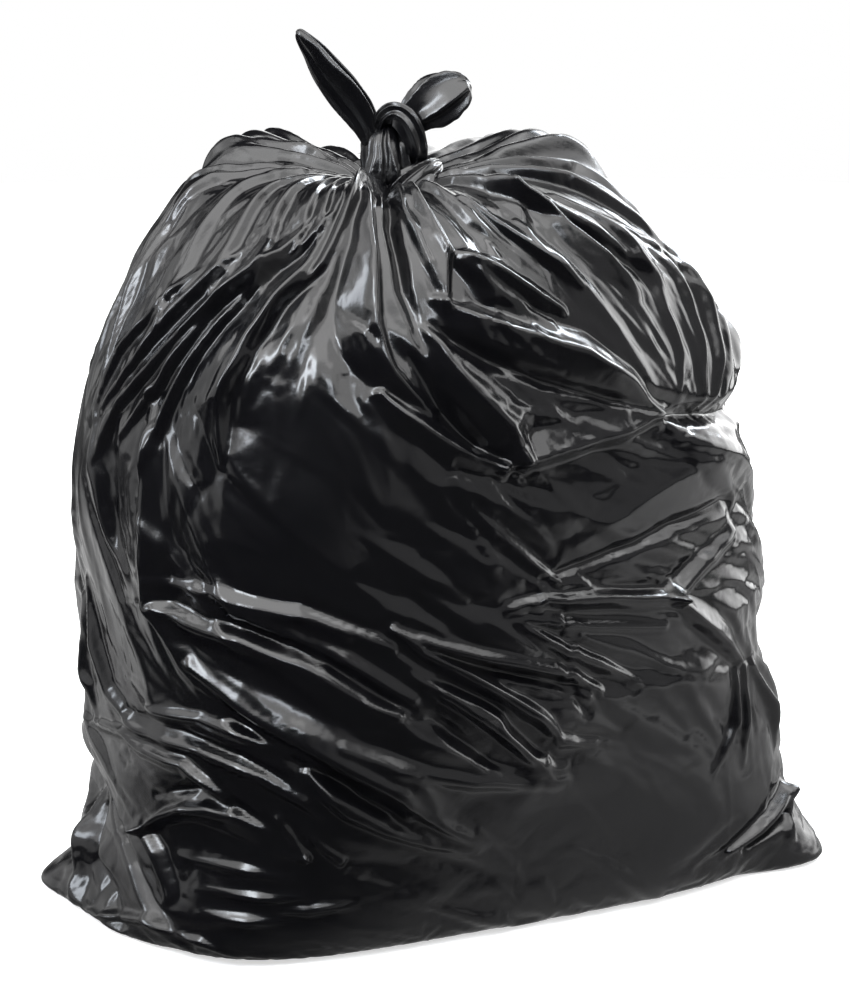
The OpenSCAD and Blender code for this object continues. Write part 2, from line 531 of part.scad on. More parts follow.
// A band of film laid along a few points
module band(points, size) {
    for (k = [0 : len(points) - 2]) {
        hull() {
            ball(points[k], size);
            ball(points[k + 1], size);
        }
    }
}

// The knot: its core, the pleated bell that comes up through it, the band that goes over it
// and the twisted tuck that runs under it to the right
module knot() {
    w = knot_w / 2;
    d = knot_d / 2;
    h = knot_h;
    foot = neck_z - h * 0.12;
    rings_solid(pleated([
        [0, -w * 0.17, -d * 0.42, foot, w * 0.74, d * 0.8],
        [1, -w * 0.17, -d * 0.42, foot + h * 0.4, w * 0.95, d * 0.95],
        [2, -w * 0.17, -d * 0.42, foot + h * 0.75, w * 0.95, d * 0.9],
        [3, -w * 0.13, -d * 0.37, foot + h * 0.96, w * 0.7, d * 0.68],
        [4, -w * 0.09, -d * 0.32, foot + h * 1.1, w * 0.2, d * 0.2]
    ], 8, 20, 10, 0.1, 0.8));
    rings_solid(pleated([
        [0, -w * 0.13, d * 0.26, foot + h * 0.9, w * 0.5, d * 0.5],
        [1, -w * 0.13, d * 0.42, foot + h * 0.68, w * 0.74, d * 0.74],
        [2, -w * 0.13, d * 0.53, foot + h * 0.42, w * 0.82, d * 0.88],
        [3, -w * 0.13, d * 0.47, foot + h * 0.25, w * 0.72, d * 0.76]
    ], 6, 26, 13, 0.12, 0.4));
    band([for (p = [
        [-0.35, -0.8, 0.86], [-0.15, -0.4, 1.03], [0.05, 0.2, 1.09], [0.3, 0.7, 1.04], [0.48, 1.0, 0.9],
        [0.58, 1.05, 0.74], [0.64, 0.9, 0.58], [0.66, 0.6, 0.44], [0.6, 0.2, 0.34], [0.4, -0.2, 0.28]
    ]) by_neck(p[0] * w, p[1] * d, foot + p[2] * h)], [band_t, band_t * 0.9, band_t]);
    rings_solid(pleated([
        [0, -w * 0.4, d * 0.8, foot - h * 0.06, w * 0.3, d * 0.37],
        [1, w * 0.1, d * 1.2, foot + h * 0.08, w * 0.48, d * 0.47],
        [2, w * 0.6, d * 1.2, foot + h * 0.21, w * 0.52, d * 0.53],
        [3, w * 1.1, d * 0.8, foot + h * 0.33, w * 0.48, d * 0.47],
        [4, w * 1.5, d * 0.2, foot + h * 0.42, w * 0.35, d * 0.37],
        [5, w * 1.65, -d * 0.4, foot + h * 0.45, w * 0.13, d * 0.16]
    ], 8, 14, 7, 0.14, 0.8));
}

// One ear: pleated film that starts in the knot. A row is the share of its length, its sway to
// the side as a share of that length, and the shares of its width and thickness
module ear(rows, root, lean, length, width, thickness, sides, pleats) {
    rings_solid(pleated([for (k = [0 : len(rows) - 1])
        let(row = rows[k], go = row[0] * length, sway = row[1] * length)
        [k,
            root[0] + go * sin(lean) - sway * cos(lean),
            root[1] + thickness * 0.1 * sin(40 * k),
            root[2] + go * cos(lean) + sway * sin(lean),
            row[2] * width / 2,
            row[3] * thickness / 2]
    ], 2 * (len(rows) - 1), sides, pleats, 0.15, 0.3));
}
LONG_ROWS = [[0, 0, 0.62, 1.3], [0.12, -0.01, 0.68, 1.2], [0.3, 0.01, 0.9, 1], [0.5, 0.02, 1, 0.9],
    [0.68, 0.02, 0.88, 0.8], [0.84, 0.01, 0.66, 0.7], [0.95, 0, 0.4, 0.6], [1, 0, 0.1, 0.2]];
SHORT_ROWS = [[0, 0, 0.4, 0.7], [0.18, 0, 0.52, 0.8], [0.36, 0.02, 0.84, 0.95], [0.56, 0.03, 1, 1],
    [0.76, 0.02, 0.92, 0.95], [0.9, 0, 0.66, 0.75], [1, -0.02, 0.16, 0.2]];

// The whole bag stands on z = 0 with the middle of its box at the origin
all_points = [for (row = film_net) each row];
mid_x = (min([for (p = all_points) p[0]]) + max([for (p = all_points) p[0]])) / 2;
mid_y = (min([for (p = all_points) p[1]]) + max([for (p = all_points) p[1]])) / 2;

module tied_bag() {
    color(FILM_COLOR)
        translate([-mid_x, -mid_y, 0])
            union() {
                rings_solid(film_net);
                knot();
                ear(LONG_ROWS, [-knot_w * 0.28, -knot_d * 0.05, knot_z],
                    -long_ear_lean, long_ear, long_ear_w, long_ear_t, 14, 5);
                ear(SHORT_ROWS, [knot_w * 0.13, knot_d * 0.1, knot_z + knot_h * 0.1],
                    short_ear_lean, short_ear, short_ear_w, short_ear_t, 16, 6);
            }
}

tied_bag();
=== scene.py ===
"""A tied full bin bag of black polythene film, standing on a pale studio floor."""
import math

import bmesh
import bpy
import numpy as np
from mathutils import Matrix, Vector, kdtree


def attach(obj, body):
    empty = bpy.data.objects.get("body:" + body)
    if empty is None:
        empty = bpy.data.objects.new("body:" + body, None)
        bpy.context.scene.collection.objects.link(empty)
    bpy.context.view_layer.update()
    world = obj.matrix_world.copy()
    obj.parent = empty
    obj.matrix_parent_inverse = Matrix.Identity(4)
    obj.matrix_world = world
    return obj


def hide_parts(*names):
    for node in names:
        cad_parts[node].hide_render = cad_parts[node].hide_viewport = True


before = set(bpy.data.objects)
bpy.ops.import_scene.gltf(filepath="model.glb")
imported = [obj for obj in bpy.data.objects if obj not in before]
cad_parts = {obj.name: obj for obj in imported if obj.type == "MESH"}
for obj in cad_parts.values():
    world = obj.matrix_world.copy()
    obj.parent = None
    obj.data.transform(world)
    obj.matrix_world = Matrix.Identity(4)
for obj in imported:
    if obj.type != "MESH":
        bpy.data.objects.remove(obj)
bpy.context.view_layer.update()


# Camera.
# It looks at the bag's broad front from the left, from a little above, as a person crouching
# some way off would. The long lens keeps the upright sides nearly parallel. Lengths are metres.
CAMERA_AZIMUTH = math.radians(-35)
CAMERA_ELEVATION = math.radians(14)
CAMERA_DISTANCE = 2.8
CAMERA_LENS_MM = 120.6
CAMERA_SENSOR_MM = 36
AIM_HEIGHT = 0.300
AIM_RIGHT = -0.0017
AIM_UP = 0.0278

camera_back = Vector((
    math.sin(CAMERA_AZIMUTH) * math.cos(CAMERA_ELEVATION),
    -math.cos(CAMERA_AZIMUTH) * math.cos(CAMERA_ELEVATION),
    math.sin(CAMERA_ELEVATION),
))
camera_right = Vector((math.cos(CAMERA_AZIMUTH), math.sin(CAMERA_AZIMUTH), 0))
camera_up = camera_back.cross(camera_right)
camera_data = bpy.data.cameras.new("camera")
camera_data.lens = CAMERA_LENS_MM
camera_data.sensor_width = CAMERA_SENSOR_MM
camera_data.clip_end = 50
camera = bpy.data.objects.new("camera", camera_data)
bpy.context.collection.objects.link(camera)
camera_aim = Vector((0, 0, AIM_HEIGHT)) + camera_right * AIM_RIGHT + camera_up * AIM_UP
camera.location = camera_aim + camera_back * CAMERA_DISTANCE
camera.rotation_euler = (-camera_back).to_track_quat("-Z", "Y").to_euler()
bpy.context.scene.camera = camera


# Film of the bag.
# The real piece is a tube of low-density polythene film, blown, welded flat across its bottom,
# filled with loose waste and gathered by hand at its mouth. Its folds were made by that pulling.
# A place on it is an angle in degrees, 0 at +X and 90 at +Y, and a height along the film in mm.
MM = 0.001
NECK_X = -38
NECK_Y = 10
KNOT_Z = 628
# the frame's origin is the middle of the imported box, so the film's own places move by this in mm
ORIGIN_SHIFT = (8.6, -0.6)

# height along the film, z, half width, half depth, squareness of the section, centre x, centre y,
# turn of the section in degrees
LEVELS = np.array([
    [0, 0, 282, 150, 3.6, 2, 0, -9.5],
    [18, 8, 294, 163, 3.6, 2, 0, -9.5],
    [50, 36, 298, 174, 3.6, 2, 0, -9],
    [110, 94, 296, 186, 3.3, 0, 0, -6.5],
    [175, 159, 291, 195, 3.1, -2, 0, -3.5],
    [245, 228, 288, 200, 2.9, -6, 2, -1],
    [395, 378, 285, 203, 2.6, -14, 4, 0],
    [490, 468, 264, 194, 2.4, -14, 6, 0],
    [575, 545, 214, 166, 2.4, -18, 8, 0],
    [650, 591, 160, 126, 2.3, -26, 10, 0],
    [710, 606, 108, 84, 2.2, -34, 10, 0],
    [765, 602, 52, 46, 2, NECK_X, NECK_Y, 0],
    [800, 596, 28, 26, 2, NECK_X, NECK_Y, 0],
    [830, 608, 20, 20, 2, NECK_X, NECK_Y, 0],
    [856, KNOT_Z, 19, 19, 2, NECK_X, NECK_Y, 0],
], float)
FILM_TOP = LEVELS[-1, 0]

# waste pushing out or hollows: angle, height along the film, spread in degrees and in mm, push in mm
BULGES = [
    [156, 0, 34, 60, 54],
    [184, 0, 20, 46, 14],
    [333, 8, 28, 85, 40],
    [212, 110, 30, 90, -10],
    [14, 665, 36, 65, 20],
    [60, 670, 36, 70, -2],
    [112, 660, 30, 60, 26],
    [150, 640, 24, 50, 14],
    [162, 110, 28, 50, -22],
    [338, 560, 34, 90, -11],
    [212, 608, 36, 76, -14],
    [206, 500, 30, 42, 6],
    [335, 410, 28, 70, -15],
    [328, 215, 28, 70, -13],
    [250, 30, 50, 70, 8],
    [248, 752, 50, 80, -12],
]

# gathers from the neck: how far the crest leans to one side, then angle, height along the film,
# height of the crest and half width of the fold in mm
GATHERS = [
    [0.4, [108, 800, 2, 3], [112, 730, 9, 10], [124, 672, 10, 15], [127, 610, 4, 20], [128, 560, 0, 20]],
    [0.5, [135, 800, 3, 3], [128, 712, 8, 12], [134, 640, 9, 18], [146, 560, 6, 20], [152, 480, 0, 18]],
    [0.7, [152, 800, 3, 3], [146, 700, 7, 11], [141, 625, 8, 17], [154, 540, 8, 19], [162, 440, 0, 16]],
    [0.75, [166, 800, 3, 3], [158, 690, 6, 10], [160, 600, 8, 16], [164, 520, 8, 18], [170, 440, 0, 14]],
    [0.75, [178, 800, 3, 3], [176, 670, 7, 10], [181, 548, 9, 17], [173, 500, 8, 16], [168, 430, 0, 12]],
    [0.75, [189, 800, 3, 3], [190, 660, 7, 10], [190, 580, 8, 15], [180, 505, 9, 17], [168, 430, 0, 12]],
    [0.75, [197, 800, 3, 3], [200, 640, 7, 10], [205, 580, 8, 14], [189, 517, 9, 16], [177, 455, 7, 12],
     [172, 400, 0, 8]],
    [0.75, [206, 800, 3, 3], [212, 625, 8, 12], [198, 553, 10, 17], [188, 487, 9, 15], [176, 415, 0, 10]],
    [0.75, [213, 800, 3, 3], [218, 631, 7, 10], [207, 592, 8, 13], [198, 529, 10, 16], [191, 465, 9, 12],
     [188, 420, 4, 6], [187, 405, 0, 3]],
    [0.6, [219, 800, 3, 3], [222, 660, 8, 10], [216, 583, 11, 17], [209, 526, 14, 22], [206, 481, 13, 16],
     [207, 436, 4, 4], [207, 426, 0, 3]],
    [0.6, [225, 800, 3, 3], [227, 660, 8, 9], [221, 592, 9, 13], [213, 556, 8, 12], [208, 487, 2, 6]],
    [0.4, [229, 800, 3, 3], [229, 700, 8, 7], [225, 613, 9, 12], [222, 556, 8, 16], [219, 500, 0, 20]],
    [0.7, [234, 800, 3, 3], [231, 700, 10, 8], [235, 600, 17, 16], [237, 540, 16, 20], [241, 505, 10, 12],
     [247, 480, 2, 5]],
    [0, [236, 790, -1, 2], [240, 640, -12, 7], [243, 570, -9, 8], [248, 515, 0, 7]],
    [-0.3, [243, 800, 3, 3], [244, 650, 7, 6], [249, 590, 8, 9], [252, 552, 0, 4]],
    [0.3, [249, 800, 3, 3], [249, 664, 10, 8], [253, 600, 11, 10], [252, 556, 5, 4], [252, 545, 0, 3]],
    [-0.4, [258, 800, 3, 3], [256, 700, 8, 8], [262, 630, 5, 12], [270, 575, 0, 12]],
    [-0.5, [268, 800, 3, 3], [270, 710, 9, 9], [277, 650, 12, 16], [290, 595, 9, 22], [304, 540, 0, 24]],
    [0.3, [280, 800, 3, 3], [279, 700, 6, 8], [274, 640, 5, 12], [270, 580, 0, 14]],
    [-0.6, [292, 800, 3, 3], [296, 720, 9, 10], [306, 665, 12, 18], [314, 600, 5, 20], [318, 550, 0, 20]],
    [-0.5, [310, 800, 3, 3], [322, 720, 9, 10], [334, 670, 10, 15], [334, 610, 4, 18], [332, 570, 0, 18]],
    [-0.4, [326, 800, 3, 3], [346, 720, 8, 10], [355, 660, 8, 16], [352, 600, 0, 20]],
]
# gathers on the far side: how many, and where they start and over how many degrees they go on
BACK_GATHERS = 11
BACK_FROM = 345
BACK_SPAN = 150

# folds in the body, in the same way
FOLDS = [
    # long facets over the right shoulder, down to the pinch at the right
    [0.4, [250, 559, 4, 5], [258, 540, 12, 20], [266, 523, 15, 28], [273, 505, 15, 30], [280, 476, 12, 22],
     [287, 443, 4, 6]],
    [0, [247, 541, -2, 4], [259, 511, -8, 10], [268, 488, -8, 11], [286, 445, -2, 4]],
    [0, [247, 541, 3, 5], [254, 498, 10, 18], [262, 455, 15, 26], [265, 424, 8, 9]],
    [0, [245, 515, -2, 5], [252, 470, -8, 12], [258, 440, -6, 9]],
    [0.2, [239, 488, 5, 5], [244, 470, 9, 12], [254, 440, 11, 14], [262, 420, 8, 8]],
    [-0.4, [262, 420, 6, 6], [268, 427, 12, 16], [278, 436, 11, 18], [287, 443, 4, 6]],
    # leaf-like facets of the right shoulder, above them
    [0.3, [254, 600, 2, 5], [261, 585, 9, 14], [268, 560, 9, 14], [272, 540, 4, 6]],
    [0.3, [256, 590, 2, 4], [262, 560, 7, 12], [270, 530, 3, 6]],
    [-0.3, [262, 660, 3, 4], [268, 620, 8, 10], [273, 578, 7, 9], [276, 556, 2, 4]],
    [0.2, [271, 625, 2, 5], [275, 575, 8, 14], [281, 520, 5, 18], [286, 465, 1, 8]],
    [0.6, [276, 660, 4, 4], [281, 618, 11, 13], [286, 578, 11, 14], [291, 545, 3, 6]],
    [-0.4, [290, 650, 3, 6], [296, 600, 8, 16], [298, 545, 6, 18], [296, 490, 4, 14], [292, 450, 1, 6]],
    [0.5, [310, 592, 2, 6], [307, 540, 8, 16], [304, 499, 8, 14], [299, 440, 2, 4]],
    [0, [318, 575, 3, 8], [314, 520, 9, 16], [308, 470, 7, 12], [302, 438, 2, 4]],
    [0, [328, 545, 3, 8], [322, 500, 8, 16], [313, 455, 5, 12], [304, 436, 1, 4]],
    [0, [338, 520, 2, 8], [333, 470, 7, 16], [322, 432, 2, 8]],
    # pinch under the right shoulder, and the full petal of film below it
    [0, [287, 441, -3, 5], [293, 438, -10, 10], [300, 434, -14, 12], [310, 428, -14, 14],
     [330, 424, -10, 16], [345, 426, 0, 16]],
    [0, [289, 422, 3, 14], [300, 402, 12, 34], [312, 380, 9, 36], [324, 352, 0, 30]],
    # creases that start at the middle of the front and spread to the right
    [0.3, [263, 305, 1, 4], [268, 309, 8, 7], [274, 301, 10, 9], [284, 289, 9, 9]],
    [0, [284, 289, 9, 8], [292, 309, 10, 11], [304, 327, 5, 9]],
    [-0.3, [284, 289, 9, 8], [289, 266, 10, 12], [297, 236, 11, 13], [303, 215, 6, 6]],
    [0, [264, 297, 0, 4], [268, 291, 5, 5], [272, 279, 5, 6], [282, 266, 3, 5]],
    [0.2, [264, 297, 0, 4], [268, 277, 7, 7], [270, 262, 9, 8], [272, 248, 9, 8], [277, 224, 2, 5]],
    [0, [268, 325, -2, 4], [274, 336, -6, 8], [286, 348, -7, 9], [304, 354, -3, 8]],
    [0, [270, 345, 1, 10], [280, 375, 6, 26], [292, 392, 8, 34], [306, 396, 4, 30]],
    # creases from the middle of the front down to the right, and the hollows between them
    [0, [244, 301, 3, 3], [252, 285, 8, 7], [259, 272, 9, 8], [266, 258, 8, 8], [270, 242, 8, 8],
     [272, 224, 3, 5]],
    [0.2, [244, 301, 3, 3], [250, 281, 8, 7], [258, 258, 9, 8], [264, 234, 9, 8], [268, 213, 8, 8],
     [270, 185, 7, 7], [272, 177, 2, 4]],
    [0, [250, 284, -2, 3], [259, 265, -5, 6], [266, 246, -6, 8], [270, 228, -5, 8], [271, 205, -1, 5]],
    [0, [263, 250, 2, 4], [268, 236, 7, 8], [271, 220, 4, 6]],
    [0.2, [248, 262, 2, 4], [254, 246, 8, 8], [260, 228, 9, 9], [263, 215, 9, 9], [265, 201, 8, 8],
     [268, 181, 7, 7], [270, 162, 2, 5]],
    [0, [253, 246, 2, 3], [260, 220, 6, 5], [266, 191, 6, 5], [270, 150, 1, 4]],
    [0, [250, 240, -2, 6], [257, 210, -5, 10], [264, 180, -5, 10], [268, 165, -1, 6]],
    [0, [239, 244, 2, 4], [246, 234, 6, 7], [251, 228, 1, 4]],
    # long diagonals from the left corner across the lower front
    [0.2, [191, 313, 6, 4], [198, 303, 10, 12], [211, 295, 11, 16], [224, 276, 10, 18], [235, 254, 9, 18],
     [247, 224, 8, 16], [255, 201, 6, 14], [268, 150, 0, 8]],
    [-0.5, [198, 270, 5, 5], [210, 244, 10, 14], [226, 217, 12, 16], [237, 195, 12, 16], [248, 171, 11, 16],
     [257, 140, 9, 14], [267, 99, 0, 8]],
    [0, [200, 250, -2, 5], [212, 226, -6, 8], [228, 198, -8, 9], [240, 174, -8, 9], [250, 148, -6, 8],
     [258, 118, -1, 6]],
    [0, [236, 211, 2, 5], [248, 189, 7, 9], [262, 165, 7, 9], [270, 146, 1, 5]],
    [-0.3, [230, 189, 4, 4], [236, 169, 9, 10], [241, 154, 9, 11], [251, 132, 8, 10], [260, 112, 6, 9],
     [266, 99, 1, 5]],
    [0.2, [190, 333, 2, 5], [206, 329, 7, 12], [225, 317, 8, 13], [234, 303, 7, 11], [244, 287, 2, 6]],
    [0, [194, 318, -2, 5], [212, 308, -6, 9], [228, 286, -6, 10], [240, 256, -4, 9], [250, 226, -1, 6]],
    [0, [200, 317, 2, 5], [220, 305, 5, 9], [234, 279, 6, 10], [246, 248, 5, 9], [255, 224, 1, 5]],
    # close creases between the left flank and the pad of waste under them
    [0.3, [161, 173, 1, 4], [180, 189, 7, 7], [183, 184, 8, 8], [196, 183, 9, 8], [203, 173, 9, 8],
     [210, 160, 8, 7], [214, 148, 3, 4]],
    [0, [180, 197, 3, 4], [200, 199, 7, 7], [218, 185, 7, 8], [230, 165, 6, 7], [236, 150, 2, 4]],
    [0, [184, 220, 3, 4], [200, 226, 6, 7], [214, 217, 7, 8], [227, 203, 6, 7], [234, 187, 2, 4]],
    [0, [180, 209, -2, 3], [194, 211, -5, 5], [212, 201, -6, 6], [226, 183, -2, 4]],
    [0, [188, 150, -3, 6], [200, 165, -8, 9], [212, 156, -6, 8], [222, 144, -1, 5]],
    # corner that the waste makes down the left side, and the facets of the left flank
    [0, [185, 478, 3, 6], [188, 430, 11, 16], [189, 360, 14, 22], [189, 313, 14, 14], [196, 268, 9, 14],
     [206, 238, 2, 9]],
    [0, [176, 480, -1, 8], [177, 420, -6, 14], [179, 350, -4, 14], [180, 300, 0, 12]],
    [0, [170, 440, 1, 8], [173, 400, 6, 14], [178, 350, 4, 12], [183, 308, 0, 10]],
    [0, [166, 300, 2, 8], [170, 250, 9, 14], [176, 215, 7, 12], [185, 188, 1, 7]],
    [0, [160, 280, 2, 8], [163, 220, 8, 14], [170, 186, 2, 8]],
    # pad of waste at the lower left, its upper crest and its creases
    [0.3, [187, 118, 13, 5], [192, 136, 12, 8], [198, 146, 10, 9], [205, 150, 8, 9], [216, 146, 6, 8],
     [226, 132, 2, 6]],
    [0, [187, 118, 13, 5], [192, 101, 11, 9], [200, 71, 4, 9]],
    [0, [198, 104, 1, 4], [220, 101, 5, 6], [236, 95, 1, 4]],
    [0, [208, 81, 1, 4], [228, 79, 6, 6], [242, 81, 1, 4]],
    [0, [212, 63, 1, 4], [227, 59, 6, 6], [236, 60, 1, 4]],
    [0, [232, 69, 1, 4], [242, 71, 6, 6], [250, 70, 1, 3]],
    [0, [226, 148, 4, 4], [236, 114, 5, 5]],
    [0, [224, 120, 1, 3], [236, 114, 6, 5]],
    [0, [232, 140, 2, 3], [244, 110, 6, 6]],
    # folds into the corner of the weld at the lower left
    [0, [176, 112, -8, 6], [184, 84, -16, 10], [196, 50, -12, 12], [210, 30, -3, 8]],
    [0, [166, 104, 3, 8], [169, 84, 10, 12], [173, 54, 14, 16], [176, 18, 5, 16]],
    [0, [172, 100, -8, 8], [178, 60, -10, 12], [184, 24, -3, 10]],
    [0, [178, 11, 3, 4], [192, 40, 7, 7], [214, 36, 5, 6], [226, 24, 1, 4]],
    # folds into the corner of the weld at the lower right
    [0, [298, 47, 6, 4], [308, 61, 12, 9], [327, 83, 10, 8]],
    [0, [327, 83, 8, 6], [321, 46, 6, 6]],
    [0, [304, 44, -3, 5], [314, 56, -10, 9], [322, 64, -9, 9]],
    # folds that fan down from the right side's middle
    [0, [302, 213, 3, 5], [300, 163, 7, 8], [293, 126, 1, 5]],
    [0, [306, 207, 2, 5], [304, 160, 7, 7], [303, 126, 1, 4]],
    [0, [309, 207, 2, 5], [318, 165, 9, 8], [322, 126, 2, 5]],
    [0, [313, 215, 2, 6], [326, 190, 8, 10], [336, 150, 2, 8]],
    # long soft folds round the back
    [0.3, [340, 380, 5, 14], [10, 330, 12, 26], [44, 300, 4, 18]],
    [-0.3, [20, 470, 4, 16], [52, 410, 12, 26], [86, 390, 4, 18]],
    [0.3, [150, 480, 4, 16], [126, 400, 12, 24], [100, 350, 4, 18]],
    [0, [140, 260, 4, 14], [108, 230, 12, 24], [70, 240, 11, 24], [34, 200, 2, 14]],
    [0, [128, 130, 2, 12], [96, 120, 10, 22], [58, 90, 8, 22], [26, 100, 0, 12]],
    [0.3, [352, 240, 5, 14], [8, 180, 11, 22], [20, 100, 2, 14]],
]

# net of the film: where its front starts and ends in degrees, where its foot ends and its neck
# starts along the film, and how many columns and rows each stretch has
FRONT_FROM = 140
FRONT_TO = 340
FOOT_FILM = 18
NECK_FILM = 765
FRONT_COLUMNS = 520
BACK_COLUMNS = 170
FOOT_ROWS = 8
BODY_ROWS = 400
NECK_ROWS = 24

# a fold's crest is rounded over this many mm, its flanks are slightly hollow and have a least width
CREST_ROUND = 1.6
FLANK_POWER = 1.15
LEAST_FLANK = 4.5
# below this height in mm the film is pushed out level, over the floor and not into it
LEVEL_BELOW = 70
# folds shrink near the neck, where a degree round the film is shorter than this in mm
FULL_DEGREE = 4.4
# height of a hollow as a share of a ridge's
HOLLOW = -0.8

# broad dents and ridges: how many, their turn from the folds near them in degrees, height in mm,
# and half length and half width in mm, each a middle value and how far it swings
BROAD_FOLDS = 72
BROAD_TURN = 30
BROAD_HEIGHT = 6
BROAD_LENGTH = (95, 35)
BROAD_WIDTH = (42, 14)
# each is this share of the way further round and further up than the last, which spreads them, and
# their middles lie over this span in mm along the film
STEP_ROUND = 0.618
STEP_UP = 0.4142
BROAD_FROM = 40
BROAD_SPAN = 700

# seeded creases: how many, half length, half width and height in mm, each from and to
LARGE_CREASES = [380, 50, 130, 10, 22, 1.2, 3.4]
SMALL_CREASES = [1000, 30, 90, 3.5, 8, 0.3, 1.1]
CREASE_SEED = 11
# heights along the film where their middles lie, how much they turn from the folds near them and
# bend, share of them that are ridges, and their least share of their size near the neck
CREASES_FROM = 12
CREASES_TO = 800
CREASE_TURN = 0.2
CREASE_BEND = 0.08
RIDGE_SHARE = 0.65
LEAST_SIZE = 0.22
# distance in mm over which a given fold turns the creases round it
FLOW_REACH = 60
# places where the film is pulled smooth: even angle, height, spread in degrees and in mm, share left out
CALM = [
    [228, 400, 34, 110, 0.85],
    [284, 120, 52, 110, 0.92],
    [302, 380, 18, 50, 0.6],
    [286, 640, 44, 100, 0.7],
    [222, 620, 26, 100, 0.6],
    [176, 260, 20, 110, 0.6],
    [180, 60, 30, 60, 0.6],
]


def hill(x):
    """1 at the middle, falling smoothly to 0 at -1 and 1."""
    c = np.clip(np.abs(x), 0, 1)
    return 1 - c * c * (3 - 2 * c)


def turn(degrees):
    """The difference of two angles, as a turn from -180 to 180."""
    return (degrees + 180) % 360 - 180


def smooth_rows(rows, at):
    """Rows of values read at positions along their first column, on a smooth curve through them."""
    t = rows[:, 0]
    lo = np.maximum(np.arange(len(t)) - 1, 0)
    hi = np.minimum(np.arange(len(t)) + 1, len(t) - 1)
    slope = (rows[hi] - rows[lo]) / (t[hi] - t[lo])[:, None]
    k = np.clip(np.searchsorted(t, at, side="right") - 1, 0, len(t) - 2)
    gap = (t[k + 1] - t[k])[:, None]
    s = (at - t[k])[:, None] / gap
    return ((2 * s**3 - 3 * s**2 + 1) * rows[k] + (s**3 - 2 * s**2 + s) * gap * slope[k]
            + (3 * s**2 - 2 * s**3) * rows[k + 1] + (s**3 - s**2) * gap * slope[k + 1])


def section(rows, angle):
    """Points of each level's section, a circle stretched and squared."""
    c, s = np.cos(np.radians(angle)), np.sin(np.radians(angle))
    power = 2 / rows[:, 4:5]
    x = rows[:, 5:6] + rows[:, 2:3] * np.sign(c) * np.abs(c) ** power
    y = rows[:, 6:7] + rows[:, 3:4] * np.sign(s) * np.abs(s) ** power
    c, s = np.cos(np.radians(rows[:, 7:8])), np.sin(np.radians(rows[:, 7:8]))
    x, y = x * c - y * s, x * s + y * c
    return np.stack([x, y, np.broadcast_to(rows[:, 1:2], x.shape)], -1)


HALF_DEGREES = np.linspace(0, 360, 721)


def even_walk(film):
    """Degrees of an even walk round the bag at each height, for every half degree of angle."""
    rows = smooth_rows(LEVELS, np.atleast_1d(np.asarray(film, float)))
    edge = section(rows, np.broadcast_to(HALF_DEGREES, (len(rows), len(HALF_DEGREES))))
    walk = np.cumsum(np.linalg.norm(np.diff(edge, axis=1), axis=-1), axis=1)
    return np.concatenate([np.zeros((len(rows), 1)), 360 * walk / walk[:, -1:]], 1)


def even_run(run):
    """A run with its angles as degrees of an even walk."""
    walks = even_walk([p[1] for p in run[1:]])
    return [run[0]] + [[360 * (p[0] // 360) + np.interp(p[0] % 360, HALF_DEGREES, walk)] + p[1:]
                       for p, walk in zip(run[1:], walks)]


def run_push(run, angle, film, degree):
    """Push in mm that one fold gives each point; degree is the length of one degree, in mm."""
    best = np.zeros(angle.shape)
    lean, run = run[0], run[1:]
    reach = 2 * max(p[3] for p in run)
    rows = (film > min(p[1] for p in run) - reach) & (film < max(p[1] for p in run) + reach)
    if not rows.any():
        return best
    ang, flm, deg = angle[rows], film[rows][:, None], degree[rows][:, None]
    for a, b in zip(run[:-1], run[1:]):
        ax, ay = turn(b[0] - a[0]) * deg, b[1] - a[1]
        px, py = turn(ang - a[0]) * deg, flm - a[1]
        t = np.clip((px * ax + py * ay) / (ax * ax + ay * ay), 0, 1)
        side = np.sign(ax * py - ay * px)
        width = np.maximum((a[3] + (b[3] - a[3]) * t) * (1 - lean * side), LEAST_FLANK)
        soft = CREST_ROUND / width
        off = np.hypot(px - t * ax, py - t * ay) / width
        rise = 1 - (np.sqrt(off**2 + soft**2) - soft) / (np.sqrt(1 + soft**2) - soft)
        leg = (a[2] + (b[2] - a[2]) * t) * np.clip(rise, 0, 1) ** FLANK_POWER
        best[rows] = np.where(np.abs(leg) > np.abs(best[rows]), leg, best[rows])
    return best


def film_points(columns, film, creases):
    """The film as rows of points in mm: the filled outline, pushed out by waste, gathers and folds."""
    # a column is a place on an even walk round the bag, and this is its angle at each height
    even = np.broadcast_to(columns, (len(film), len(columns)))
    angle = np.stack([360 * (columns // 360) + np.interp(columns % 360, walk, HALF_DEGREES)
                      for walk in even_walk(film)])
    plain = section(smooth_rows(LEVELS, film), angle)
    # outwards is square to the way round and the way up
    around = np.roll(plain[:, :-1], -1, 1) - np.roll(plain[:, :-1], 1, 1)
    around = np.concatenate([around, around[:, :1]], 1)
    out = np.cross(around, np.gradient(plain, axis=0))
    out[..., 2] *= 1 - hill(plain[..., 2] / LEVEL_BELOW)
    out /= np.linalg.norm(out, axis=-1, keepdims=True)
    degree = np.linalg.norm(np.diff(plain, axis=1), axis=-1).sum(1) / 360
    push = np.zeros(angle.shape)
    for at, height, wide, high, out_by in BULGES:
        push += out_by * hill(turn(angle - at) / wide) * hill((film[:, None] - height) / high)
    for run in RUNS + broad_folds():
        push += run_push(run, even, film, degree)
    push += seeded_creases(creases, even, film, degree)
    # the crests are softened by one row and one column
    push[1:-1] = (push[:-2] + 2 * push[1:-1] + push[2:]) / 4
    push[:, 1:-1] = (push[:, :-2] + 2 * push[:, 1:-1] + push[:, 2:]) / 4
    points = plain + push[..., None] * out
    points[..., 2] = np.maximum(points[..., 2], 0)
    points[0, :, 2] = 0
    return points


